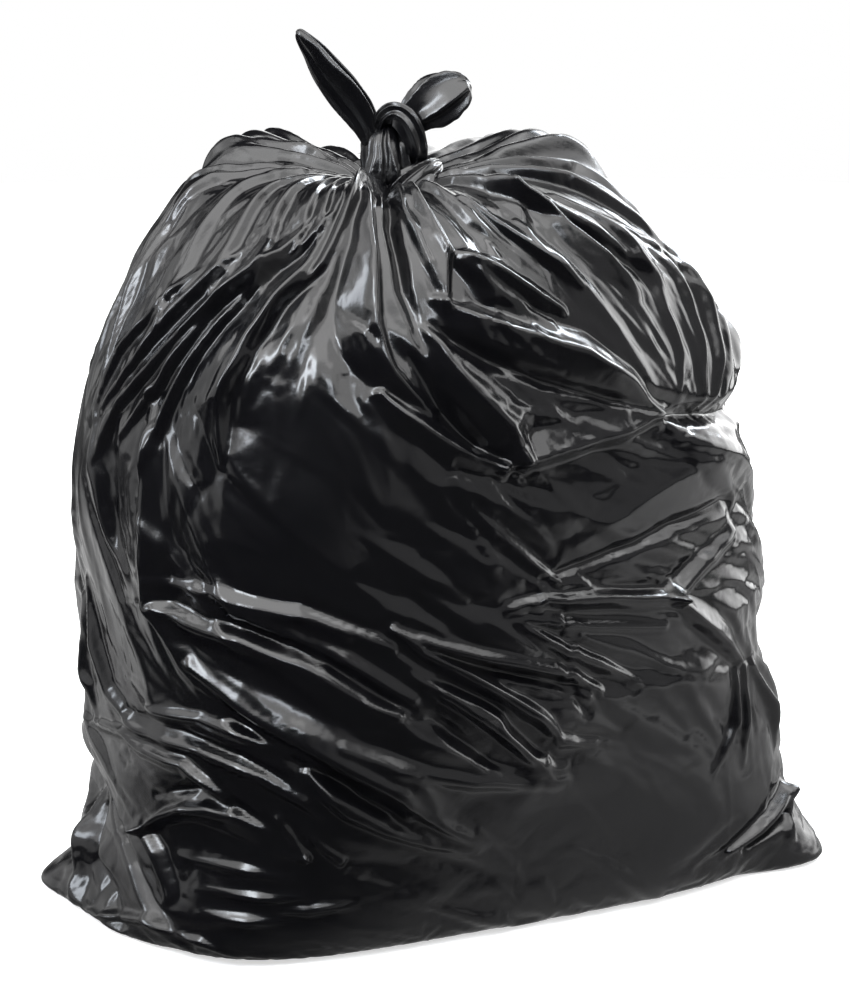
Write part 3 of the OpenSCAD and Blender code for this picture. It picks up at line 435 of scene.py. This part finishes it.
def degree_mm(film):
    """Length in mm of one degree round the film at a height along it."""
    _, _, a, b = smooth_rows(LEVELS, np.array([float(film)]))[0][:4]
    return math.pi * (3 * (a + b) - math.sqrt((3 * a + b) * (a + 3 * b))) / 360


def flow(angle, film):
    """Direction, in radians from the level, of the given folds round a place."""
    at, middle, d, length, twice = FLOW_LEGS.T
    far = np.hypot(turn(at - angle) * d, middle - film)
    share = length / (far**2 + FLOW_REACH**2) ** 1.5
    return math.atan2((share * np.sin(twice)).sum(), (share * np.cos(twice)).sum()) / 2


def broad_folds():
    """Broad dents and ridges between the folds, spread evenly, each a little turned from the flow."""
    def odd(degrees):
        return math.sin(math.radians(degrees))

    runs = []
    for i in range(BROAD_FOLDS):
        angle = 360 * (i * STEP_ROUND % 1)
        film = BROAD_FROM + BROAD_SPAN * ((i * STEP_UP + 0.3) % 1)
        way = flow(angle, film) + math.radians(BROAD_TURN * odd(i * 77))
        degree = degree_mm(film)
        half = BROAD_LENGTH[0] + BROAD_LENGTH[1] * odd(i * 131)
        wide = (BROAD_WIDTH[0] + BROAD_WIDTH[1] * odd(i * 53)) * min(1, degree / FULL_DEGREE)
        high = BROAD_HEIGHT * (1 if odd(i * 199) > -0.3 else HOLLOW) * min(1, degree / FULL_DEGREE)
        da, df = half * math.cos(way) / degree, half * math.sin(way)
        runs.append([0.3 * odd(i * 97), [angle - da, film - df, 0, wide * 0.3],
                     [angle + 2 * odd(i * 31), film, high, wide], [angle + da, film + df, 0, wide * 0.3]])
    return runs


def loose(angle, film):
    """Share of its creases that a place keeps: less than 1 where the film is pulled smooth."""
    share = 1.0
    for at, height, wide, high, left_out in CALM:
        share = share * (1 - left_out * hill(turn(angle - at) / wide) * hill((film - height) / high))
    return share


def seeded_creases(creases, angle, film, degree):
    """Push in mm of many small creases, which take the direction of the given folds near them."""
    draw = np.random.default_rng(CREASE_SEED)
    push = np.zeros(angle.shape)
    around = angle[0]
    for count, long_from, long_to, wide_from, wide_to, high_from, high_to in creases:
        for _ in range(count):
            at, height = draw.uniform(0, 360), draw.uniform(CREASES_FROM, CREASES_TO)
            off_way, bend = draw.normal(0, CREASE_TURN), draw.normal(0, CREASE_BEND)
            half = draw.uniform(long_from, long_to)
            wide = draw.uniform(wide_from, wide_to)
            high = draw.uniform(high_from, high_to) * (1 if draw.random() < RIDGE_SHARE else HOLLOW)
            degree_here = float(np.interp(height, film, degree))
            size = min(1.0, max(LEAST_SIZE, degree_here / FULL_DEGREE))
            wide, high = wide * size, high * size
            high *= float(loose(at, height))
            way = flow(at, height) + off_way
            # rows and columns near enough; a degree is shorter higher up, so more columns are taken
            reach = half + wide
            rows = np.flatnonzero(np.abs(film - height) < reach)
            cols = np.flatnonzero(np.abs(turn(around - at)) * degree_here < reach * 1.6)
            if not len(rows) or not len(cols):
                continue
            px = turn(around[cols] - at)[None, :] * degree[rows, None]
            py = (film[rows] - height)[:, None]
            t = (px * math.cos(way) + py * math.sin(way)) / half
            across = -px * math.sin(way) + py * math.cos(way) + bend * half * t * t
            width = wide * np.clip(1.15 - np.abs(t), 0.1, 1)
            soft = CREST_ROUND / width
            rise = 1 - (np.sqrt((across / width) ** 2 + soft**2) - soft) / (np.sqrt(1 + soft**2) - soft)
            push[np.ix_(rows, cols)] += high * np.clip(rise, 0, 1) * np.clip(1 - t * t, 0, 1)
    return push


def back_gathers():
    """Gathers on the far side, evenly spread and uneven in size."""
    runs = []
    for i in range(BACK_GATHERS):
        a = BACK_FROM + BACK_SPAN * (i + 0.5) / BACK_GATHERS
        odd = math.sin(math.radians(a * 7.3))
        runs.append([0.4 * odd, [a - 5 * odd, 800, 2, 3], [a + 3 * odd, 660, 10 + 3 * odd, 16],
                     [a + 8 * odd, 540 - 50 * odd, 0, 22]])
    return runs


RUNS = [even_run(run) for run in GATHERS + back_gathers() + FOLDS]
# each straight stretch of a fold: its middle, mm to a degree there, length and twice its direction
FLOW_LEGS = []
for run in RUNS:
    for a, b in zip(run[1:-1], run[2:]):
        middle = (a[1] + b[1]) / 2
        d = degree_mm(middle)
        around, along = turn(b[0] - a[0]) * d, b[1] - a[1]
        FLOW_LEGS.append((a[0] + turn(b[0] - a[0]) / 2, middle, d, math.hypot(around, along),
                          2 * math.atan2(along, around)))
FLOW_LEGS = np.array(FLOW_LEGS)


def net_places(front, back, foot, body, neck):
    """Columns and film heights of a net, closest in front, at the foot and at the neck."""
    columns = np.concatenate([
        np.linspace(FRONT_FROM, FRONT_TO, front, endpoint=False),
        np.linspace(FRONT_TO, FRONT_FROM + 360, back + 1),
    ])
    film = np.concatenate([
        np.linspace(0, FOOT_FILM, foot, endpoint=False),
        np.linspace(FOOT_FILM, NECK_FILM, body, endpoint=False),
        np.linspace(NECK_FILM, FILM_TOP, neck + 1),
    ])
    return columns, film


columns, film_rows = net_places(FRONT_COLUMNS, BACK_COLUMNS, FOOT_ROWS, BODY_ROWS, NECK_ROWS)
net = film_points(columns, film_rows, [LARGE_CREASES, SMALL_CREASES])
net[..., :2] += ORIGIN_SHIFT


SAME_PLACE = 1e-6


def film_piece(name, net, spread):
    """An object of the net's points in mm, closed round and at both ends; spread is its UV in mm."""
    rows, cols = net.shape[:2]
    bm = bmesh.new()
    bmesh.ops.create_grid(bm, x_segments=cols - 1, y_segments=rows - 1, size=0.5)
    mesh = bpy.data.meshes.new(name)
    bm.to_mesh(mesh)
    bm.free()
    # the grid's vertices are told apart by their places, and then take the net's
    flat = np.empty(len(mesh.vertices) * 3)
    mesh.vertices.foreach_get("co", flat)
    flat = flat.reshape(-1, 3)
    col_of = np.rint((flat[:, 0] + 0.5) * (cols - 1)).astype(int)
    row_of = np.rint((flat[:, 1] + 0.5) * (rows - 1)).astype(int)
    mesh.vertices.foreach_set("co", (net[row_of, col_of] * MM).ravel())
    corners = np.empty(len(mesh.loops), int)
    mesh.loops.foreach_get("vertex_index", corners)
    uv = spread[row_of[corners], col_of[corners]] * MM
    mesh.uv_layers.new(name="film_uv").data.foreach_set("uv", uv.ravel())
    bm = bmesh.new()
    bm.from_mesh(mesh)
    bmesh.ops.remove_doubles(bm, verts=[v for v in bm.verts if v.is_boundary], dist=SAME_PLACE)
    bmesh.ops.holes_fill(bm, edges=[e for e in bm.edges if e.is_boundary], sides=0)
    bmesh.ops.recalc_face_normals(bm, faces=bm.faces)
    for face in bm.faces:
        face.smooth = True
    bm.to_mesh(mesh)
    bm.free()
    piece = bpy.data.objects.new(name, mesh)
    bpy.context.collection.objects.link(piece)
    return piece


BELLY_DEGREE = 4.6


def film_spread(columns, film):
    """Place in mm of each point of a net on the film laid flat, which is as wide as at the belly."""
    return np.stack(np.broadcast_arrays(columns * BELLY_DEGREE, film[:, None]), -1)


# The creased film settles as cloth for a moment: a net of fewer points is pressed out gently from
# inside, held at the foot and the neck, and its small moves are then given to the fine net.
# columns of the net in front and behind, and rows of its foot, its body and its neck
SETTLE_NET = (200, 70, 3, 190, 10)
SETTLE_FRAMES = 8
SETTLE_PRESSURE = 0.5
# longest move in mm, and share of the moves that the fine net gets
MOST_MOVE = 12.0
SETTLE_SHARE = 0.8
# heights along the film where it starts to be held, and the mm over which the hold grows
HELD_BELOW = 25
FOOT_FADE = 20
HELD_ABOVE = 740
NECK_FADE = 40


def settle_moves():
    """Moves in mm that the cloth makes, and the columns and film heights of its net."""
    wide, high = net_places(*SETTLE_NET)
    start = film_points(wide, high, [LARGE_CREASES])
    start[..., :2] += ORIGIN_SHIFT
    cloth_film = film_piece("settling_film", start, film_spread(wide, high))
    points = cloth_film.data.vertices
    tree = kdtree.KDTree(len(points))
    for point in points:
        tree.insert(point.co, point.index)
    tree.balance()
    # the vertex at each row and column of the net
    index = np.array([[tree.find(Vector(p))[1] for p in row] for row in start * MM])
    height = np.zeros(len(points))
    height[index] = high[:, None]
    hold = cloth_film.vertex_groups.new(name="hold")
    for i, h in enumerate(height):
        share = max(0.0, (h - HELD_ABOVE) / NECK_FADE, (HELD_BELOW - h) / FOOT_FADE)
        hold.add([i], min(1.0, share), "REPLACE")
    cloth = cloth_film.modifiers.new("cloth", "CLOTH")
    film = cloth.settings
    film.quality = 4
    film.mass = 0.05
    film.air_damping = 2.0
    film.tension_stiffness = film.compression_stiffness = 40
    film.shear_stiffness = 20
    film.bending_stiffness = 0.3
    film.tension_damping = film.compression_damping = film.shear_damping = 5
    film.bending_damping = 0.5
    film.use_pressure = True
    film.uniform_pressure_force = SETTLE_PRESSURE
    film.effector_weights.gravity = 0
    film.effector_weights.all = 0
    film.vertex_group_mass = "hold"
    film.pin_stiffness = 1.0
    film.shrink_min = -0.015
    cloth.collision_settings.use_collision = False
    cloth.collision_settings.use_self_collision = False
    cloth.point_cache.frame_start = 1
    cloth.point_cache.frame_end = SETTLE_FRAMES + 1
    scene = bpy.context.scene
    for number in range(1, SETTLE_FRAMES + 1):
        scene.frame_set(number)
    settled = cloth_film.evaluated_get(bpy.context.evaluated_depsgraph_get()).data
    places = np.empty(len(settled.vertices) * 3)
    settled.vertices.foreach_get("co", places)
    moves = places.reshape(-1, 3)[index] / MM - start
    length = np.linalg.norm(moves, axis=-1, keepdims=True)
    moves *= MOST_MOVE * np.tanh(length / MOST_MOVE) / np.maximum(length, 1e-6)
    bpy.data.objects.remove(cloth_film)
    scene.frame_set(1)
    return moves, wide, high


def moves_at(moves, wide, high):
    """The cloth's moves read between its points, for every point of the fine net."""
    col = np.interp(columns, wide, np.arange(len(wide)))
    row = np.interp(film_rows, high, np.arange(len(high)))
    c = np.clip(col.astype(int), 0, len(wide) - 2)
    r = np.clip(row.astype(int), 0, len(high) - 2)
    across, up = (col - c)[None, :, None], (row - r)[:, None, None]
    low = moves[np.ix_(r, c)] * (1 - across) + moves[np.ix_(r, c + 1)] * across
    top = moves[np.ix_(r + 1, c)] * (1 - across) + moves[np.ix_(r + 1, c + 1)] * across
    return low * (1 - up) + top * up


net += moves_at(*settle_moves()) * (SETTLE_SHARE * loose(columns, film_rows[:, None]))[..., None]
net[..., 2] = np.maximum(net[..., 2], 0)
bag_film = film_piece("bag_film", net, film_spread(columns, film_rows))


def linear(hex_color):
    """An sRGB hex colour as linear RGBA."""
    values = [int(hex_color[i:i + 2], 16) / 255 for i in (1, 3, 5)]
    return tuple(c / 12.92 if c <= 0.04045 else ((c + 0.055) / 1.055) ** 2.4 for c in values) + (1,)


def add_node(tree, kind, links=(), **settings):
    """Adds a node, sets its inputs or properties by name, and links (input, from node, output)."""
    node = tree.nodes.new(kind)
    for name, value in settings.items():
        if hasattr(node, name):
            setattr(node, name, value)
        else:
            node.inputs[name.replace("_", " ")].default_value = value
    for target, source, output in links:
        tree.links.new(source.outputs[output], node.inputs[target])
    return node


# Black low-density polythene film, blown and slightly hazy. It gives the eye a nearly black body
# with soft-edged reflections, broken by a crinkle 9 mm wide and finer, and hazier in patches.
CRINKLE = 0.009
HAZE = 0.11
film_black = bpy.data.materials.new("black_polythene_film")
film_black.use_nodes = True
tree = film_black.node_tree
tree.nodes.clear()
place = add_node(tree, "ShaderNodeTexCoord")
grain = add_node(tree, "ShaderNodeTexNoise", Scale=1 / CRINKLE, Detail=4, Roughness=0.6,
                 links=[("Vector", place, "Object")])
crinkle = add_node(tree, "ShaderNodeBump", Strength=0.3, Distance=0.0005, links=[("Height", grain, 0)])
haze = add_node(tree, "ShaderNodeTexNoise", Scale=1 / HAZE, Detail=3, Roughness=0.6,
                links=[("Vector", place, "Object")])
gloss = add_node(tree, "ShaderNodeMapRange", From_Min=0.3, From_Max=0.7, To_Min=0.14, To_Max=0.23,
                 links=[("Value", haze, 0)])
surface = add_node(tree, "ShaderNodeBsdfPrincipled", Base_Color=linear("#08080a"), IOR=1.52,
                   links=[("Roughness", gloss, "Result"), ("Normal", crinkle, "Normal")])
add_node(tree, "ShaderNodeOutputMaterial", links=[("Surface", surface, "BSDF")])
bag_film.data.materials.append(film_black)

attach(bag_film, "root")
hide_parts("tied_bag")


# Knot.
# The bag's mouth is gathered to a rope of the same film and tied to itself. It comes up as a
# pleated bell, a band goes over it, a twisted tuck runs under it to the right, and a small flap is
# turned out below. Places are mm to the right of the neck and in front of it, as the camera sees it.
VIEW_RIGHT = np.array([0.819, -0.574, 0.0])
VIEW_FRONT = np.array([-0.574, -0.819, 0.0])
LEAST_HALF = 0.3


def pleated_piece(name, path, rings, sides, pleats, depth, twist, roll=0, seed=0):
    """A closed form swept along a path, with sharp pleats along it.

    The path's rows are right, front, z, half width and half thickness, in mm. Depth is the pleats'
    share of the size, twist their turns along the path, and roll the form's own turn in degrees.
    """
    path = np.array(path, float)
    path = np.column_stack([np.arange(len(path)), path])
    at = np.linspace(0, len(path) - 1, rings)
    rows = smooth_rows(path, at)
    neck = np.array([NECK_X + ORIGIN_SHIFT[0], NECK_Y + ORIGIN_SHIFT[1], 0.0])
    centre = (neck + rows[:, 1:2] * VIEW_RIGHT + rows[:, 2:3] * VIEW_FRONT
              + rows[:, 3:4] * np.array([0, 0, 1]))
    along = np.gradient(centre, axis=0)
    along /= np.linalg.norm(along, axis=1, keepdims=True)
    thick = VIEW_FRONT - (along @ VIEW_FRONT)[:, None] * along
    thick /= np.linalg.norm(thick, axis=1, keepdims=True)
    wide = np.cross(thick, along)
    turned = math.radians(roll)
    wide, thick = (wide * math.cos(turned) + thick * math.sin(turned),
                   thick * math.cos(turned) - wide * math.sin(turned))
    around = np.linspace(0, 2 * math.pi, sides + 1)
    share = (at / at[-1])[:, None]
    draw = np.random.default_rng(seed)
    uneven = sum(draw.uniform(-0.3, 0.3)
                 * np.sin(k * around + draw.uniform(0, 6) + share * draw.uniform(-3, 3))
                 for k in (2, 3, 5))
    phase = pleats * around / (2 * math.pi) + twist * share + uneven
    size = 1 + depth * (1 - 2 * np.abs(np.sin(math.pi * phase))) * (0.75 + 0.4 * uneven)
    rows[:, 4:6] = np.maximum(rows[:, 4:6], LEAST_HALF)
    points = (centre[:, None] + (rows[:, 4:5] * np.cos(around) * size)[..., None] * wide[:, None]
              + (rows[:, 5:6] * np.sin(around) * size)[..., None] * thick[:, None])
    length = np.concatenate([[0], np.cumsum(np.linalg.norm(np.diff(centre, axis=0), axis=1))])
    spread = np.stack(np.broadcast_arrays(around * rows[:, 4].max(), length[:, None]), -1)
    piece = film_piece(name, points, spread)
    piece.data.materials.append(film_black)
    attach(piece, "root")
    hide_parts("tied_bag")


pleated_piece("knot_core", [
    [-4, -8, 583, 17, 15], [-4, -8, 610, 20, 18], [-4, -8, 632, 19, 16], [-3, -7, 645, 14, 12],
    [-2, -6, 654, 5, 4],
], 50, 120, 15, 0.12, 0.8, seed=1)
pleated_piece("knot_bell", [
    [-2, 5, 638, 7, 6], [-2, 8, 635, 12, 9], [-2, 11, 629, 15, 12], [-1, 13, 620, 16.5, 14],
    [-1, 14, 611, 18.5, 16], [-1, 14, 605, 19.5, 17], [-1, 12, 600, 16, 14], [-1, 9, 603, 9, 8],
], 70, 140, 9, 0.2, 0.35, seed=2)
pleated_piece("knot_band", [
    [-9, 2, 641, 6, 5], [-4, 8, 650, 8, 6], [4, 14, 653.5, 9, 6], [12, 18, 648, 9.5, 6],
    [18, 20, 637, 9, 6], [21, 19, 625, 8, 6], [21, 13, 614, 7, 5], [17, 4, 606, 4, 4],
], 80, 110, 7, 0.24, 0.3, seed=3)
pleated_piece("knot_tuck", [
    [-8, 16, 580, 6, 6], [2, 26, 588, 10, 9], [13, 29, 597, 12, 9], [24, 24, 604, 11, 8],
    [34, 12, 609, 8, 7], [39, 0, 611, 3, 3],
], 70, 110, 7, 0.28, 0.7, seed=4)
# flap of film turned out under the tuck, which catches the light
pleated_piece("knot_flap", [
    [11, 42, 594, 1, 1], [18, 44, 595, 5, 1.6], [26, 46, 597, 9, 1.8], [32, 47.5, 598, 12, 1.8],
    [35, 48, 598, 10, 1.2], [36, 48, 598, 2, 0.5],
], 50, 60, 0, 0.05, 0, roll=-22, seed=7)


# Ears.
# The two loose ends of the same film above the knot, pulled tight by hand: a long flat one that
# stands up to the left, and a short crumpled loop that flops to the right.
pleated_piece("long_ear", [
    [-14, -2, 630, 9, 9], [-18, -1, 639, 10, 8], [-27, -1, 654, 13, 6], [-39, -2, 670, 14.5, 5],
    [-52, -3, 686, 13, 5], [-62, -4, 701, 10, 4], [-70, -4, 711, 7, 4], [-74, -4, 717, 4, 3],
    [-76, -4, 719, 1, 1],
], 90, 96, 5, 0.24, 0.45, roll=-22, seed=5)
pleated_piece("short_ear", [
    [6, 4, 638, 8, 8], [15, 5, 645, 11, 9], [24, 5, 654, 16, 11], [35, 4, 661, 20, 12], [45, 3, 667, 20, 12],
    [55, 2, 672, 16, 10], [62, 1, 675, 9, 7], [65, 1, 676, 2, 2],
], 80, 120, 6, 0.26, 0.6, roll=-12, seed=8)


# Floor and studio.
# A white painted floor before a white backdrop, lit evenly by softboxes. The bag's black film shows
# the studio more than itself, so what it mirrors has its own brightness, and the floor it mirrors is
# a painted glow. Lengths are metres.
FLOOR_RADIUS = 4.0
# direction from the bag to the part of the floor painted dark in the film's reflections
FLOOR_FRONT = (-0.766, -0.643, 0)
floor_mesh = bpy.data.meshes.new("studio_floor")
bm = bmesh.new()
bmesh.ops.create_circle(bm, cap_ends=True, segments=160, radius=FLOOR_RADIUS)
bm.to_mesh(floor_mesh)
bm.free()
floor = bpy.data.objects.new("studio_floor", floor_mesh)
bpy.context.collection.objects.link(floor)
floor_paint = bpy.data.materials.new("white_studio_floor")
floor_paint.use_nodes = True
tree = floor_paint.node_tree
tree.nodes.clear()
paint = add_node(tree, "ShaderNodeBsdfDiffuse", Color=linear("#f4f4f4"))
# seen by the camera, the floor is lifted to the backdrop's white, and less near the bag
place = add_node(tree, "ShaderNodeTexCoord")
far = add_node(tree, "ShaderNodeVectorMath", operation="LENGTH", links=[(0, place, "Object")])
fade = add_node(tree, "ShaderNodeMapRange", interpolation_type="SMOOTHSTEP", From_Min=0.9, From_Max=1.8,
                To_Min=0.62, To_Max=1.0, links=[("Value", far, "Value")])
glow = add_node(tree, "ShaderNodeEmission", Color=(1, 1, 1, 1), links=[("Strength", fade, "Result")])
# in the film's reflections the floor is a painted glow, not its lit paint: painted light beside and
# behind the bag, brightest in a ring about a metre away, painted dark in front of it, and painted
# shadow next to the bag
ahead = add_node(tree, "ShaderNodeVectorMath", operation="DOT_PRODUCT", links=[(0, place, "Object")])
ahead.inputs[1].default_value = FLOOR_FRONT
# painted shade: the floor in front of the bag is dark in the film's reflections
front = add_node(tree, "ShaderNodeMapRange", interpolation_type="SMOOTHSTEP", From_Min=0.1, From_Max=0.34,
                 To_Min=1.0, To_Max=0.04, links=[("Value", ahead, "Value")])
# painted light: the floor's mirrored glow fades out from about one metre to 2.2 metres away
painted_light_pool = add_node(tree, "ShaderNodeMapRange", interpolation_type="SMOOTHSTEP", From_Min=1.0, From_Max=2.2,
                To_Min=1.0, To_Max=0.1, links=[("Value", far, "Value")])
# painted shadow: the mirrored floor is dimmed next to the bag, where the bag's own shadow falls
painted_bag_shadow = add_node(tree, "ShaderNodeMapRange", interpolation_type="SMOOTHSTEP", From_Min=0.4, From_Max=0.9,
                To_Min=0.5, To_Max=1.0, links=[("Value", far, "Value")])
painted_light_ring = add_node(tree, "ShaderNodeMath", operation="MULTIPLY",
                links=[(0, painted_bag_shadow, "Result"), (1, painted_light_pool, "Result")])
painted_floor_light = add_node(tree, "ShaderNodeMath", operation="MULTIPLY",
               links=[(0, front, "Result"), (1, painted_light_ring, "Value")])
# painted reflection: a white glow carrying this painted light and shade stands for the floor in the film
white = add_node(tree, "ShaderNodeEmission", Color=(1, 1, 1, 1), links=[("Strength", painted_floor_light, "Value")])
seen = add_node(tree, "ShaderNodeLightPath")
lifted = add_node(tree, "ShaderNodeAddShader", links=[(0, paint, "BSDF"), (1, glow, "Emission")])
direct = add_node(tree, "ShaderNodeMixShader", links=[
    (0, seen, "Is Camera Ray"), (1, paint, "BSDF"), (2, lifted, "Shader")])
mirrored = add_node(tree, "ShaderNodeMixShader", links=[
    (0, seen, "Is Glossy Ray"), (1, direct, "Shader"), (2, white, "Emission")])
add_node(tree, "ShaderNodeOutputMaterial", links=[("Surface", mirrored, "Shader")])
floor.data.materials.append(floor_paint)

studio = bpy.data.worlds.new("studio")
bpy.context.scene.world = studio
studio.use_nodes = True
tree = studio.node_tree
tree.nodes.clear()
backdrop = add_node(tree, "ShaderNodeBackground", Color=(1, 1, 1, 1), Strength=1.0)
# the film mirrors a dark room with round white panels: at the bag's left, behind it to the right,
# and a dim one in front to the right
ROOM_LEVEL = 0.03
way = add_node(tree, "ShaderNodeTexCoord")


def panel(azimuth, edge_in, edge_out, level):
    """How bright a direction is for a round panel on the horizon, whose edge fades from one angle
    to the other, in degrees."""
    to = add_node(tree, "ShaderNodeVectorMath", operation="DOT_PRODUCT", links=[(0, way, "Generated")])
    to.inputs[1].default_value = (math.cos(math.radians(azimuth)), math.sin(math.radians(azimuth)), 0)
    return add_node(tree, "ShaderNodeMapRange", interpolation_type="SMOOTHSTEP",
                    From_Min=math.cos(math.radians(edge_out)), From_Max=math.cos(math.radians(edge_in)),
                    To_Min=ROOM_LEVEL, To_Max=level, links=[("Value", to, "Value")])


behind = add_node(tree, "ShaderNodeMath", operation="MAXIMUM", links=[
    (0, panel(134, 34, 52, 0.9), "Result"), (1, panel(18, 32, 48, 4.0), "Result")])
shade = add_node(tree, "ShaderNodeMath", operation="MAXIMUM", links=[
    (0, behind, "Value"), (1, panel(302, 20, 46, 0.45), "Result")])
room = add_node(tree, "ShaderNodeBackground", Color=(1, 1, 1, 1), links=[("Strength", shade, "Value")])
ray = add_node(tree, "ShaderNodeLightPath")
which = add_node(tree, "ShaderNodeMixShader", links=[
    (0, ray, "Is Camera Ray"), (1, room, "Background"), (2, backdrop, "Background")])
add_node(tree, "ShaderNodeOutputWorld", links=[("Surface", which, "Shader")])


def softbox(name, place, aim, width, height, radiance, color=(1, 1, 1)):
    """A rectangular softbox at a place, aimed at another, with an even radiance over its face."""
    data = bpy.data.lights.new(name, "AREA")
    data.shape = "RECTANGLE"
    data.size, data.size_y = width, height
    data.energy = radiance * math.pi * width * height
    data.color = color
    lamp = bpy.data.objects.new(name, data)
    lamp.location = place
    lamp.rotation_euler = (Vector(aim) - Vector(place)).to_track_quat("-Z", "Y").to_euler()
    bpy.context.collection.objects.link(lamp)


# large softboxes light the gathers and the shoulders; narrow strips draw the bright edges
SHOULDERS = (0, 0, 0.5)
BAG_MIDDLE = (0, 0, 0.35)
COOL_WHITE = (0.86, 0.92, 1.0)
softbox("top_softbox", (-0.28, -0.72, 2.4), SHOULDERS, 3.7, 3.2, 3.0)
softbox("top_inner_softbox", (-0.45, -0.75, 2.3), SHOULDERS, 1.7, 1.5, 2.0)
softbox("left_top_softbox", (-2.3, -0.2, 2.3), BAG_MIDDLE, 1.8, 1.7, 2.4)
softbox("rear_top_softbox", (-1.5, 1.6, 2.5), BAG_MIDDLE, 2.2, 1.8, 1.6)
softbox("right_top_softbox", (1.7, -1.0, 2.5), BAG_MIDDLE, 1.5, 1.5, 2.6)
softbox("left_strip", (-2.2, 1.0, 1.5), BAG_MIDDLE, 0.6, 1.1, 10, COOL_WHITE)
softbox("right_strip", (2.2, 0.3, 1.9), BAG_MIDDLE, 0.35, 1.2, 26, COOL_WHITE)
softbox("left_front_strip", (-2.0, -0.9, 2.0), BAG_MIDDLE, 0.4, 0.9, 17, COOL_WHITE)
softbox("front_strip", (-0.9, -2.6, 2.1), BAG_MIDDLE, 1.3, 0.16, 18, COOL_WHITE)

bpy.context.scene.view_settings.view_transform = "Standard"
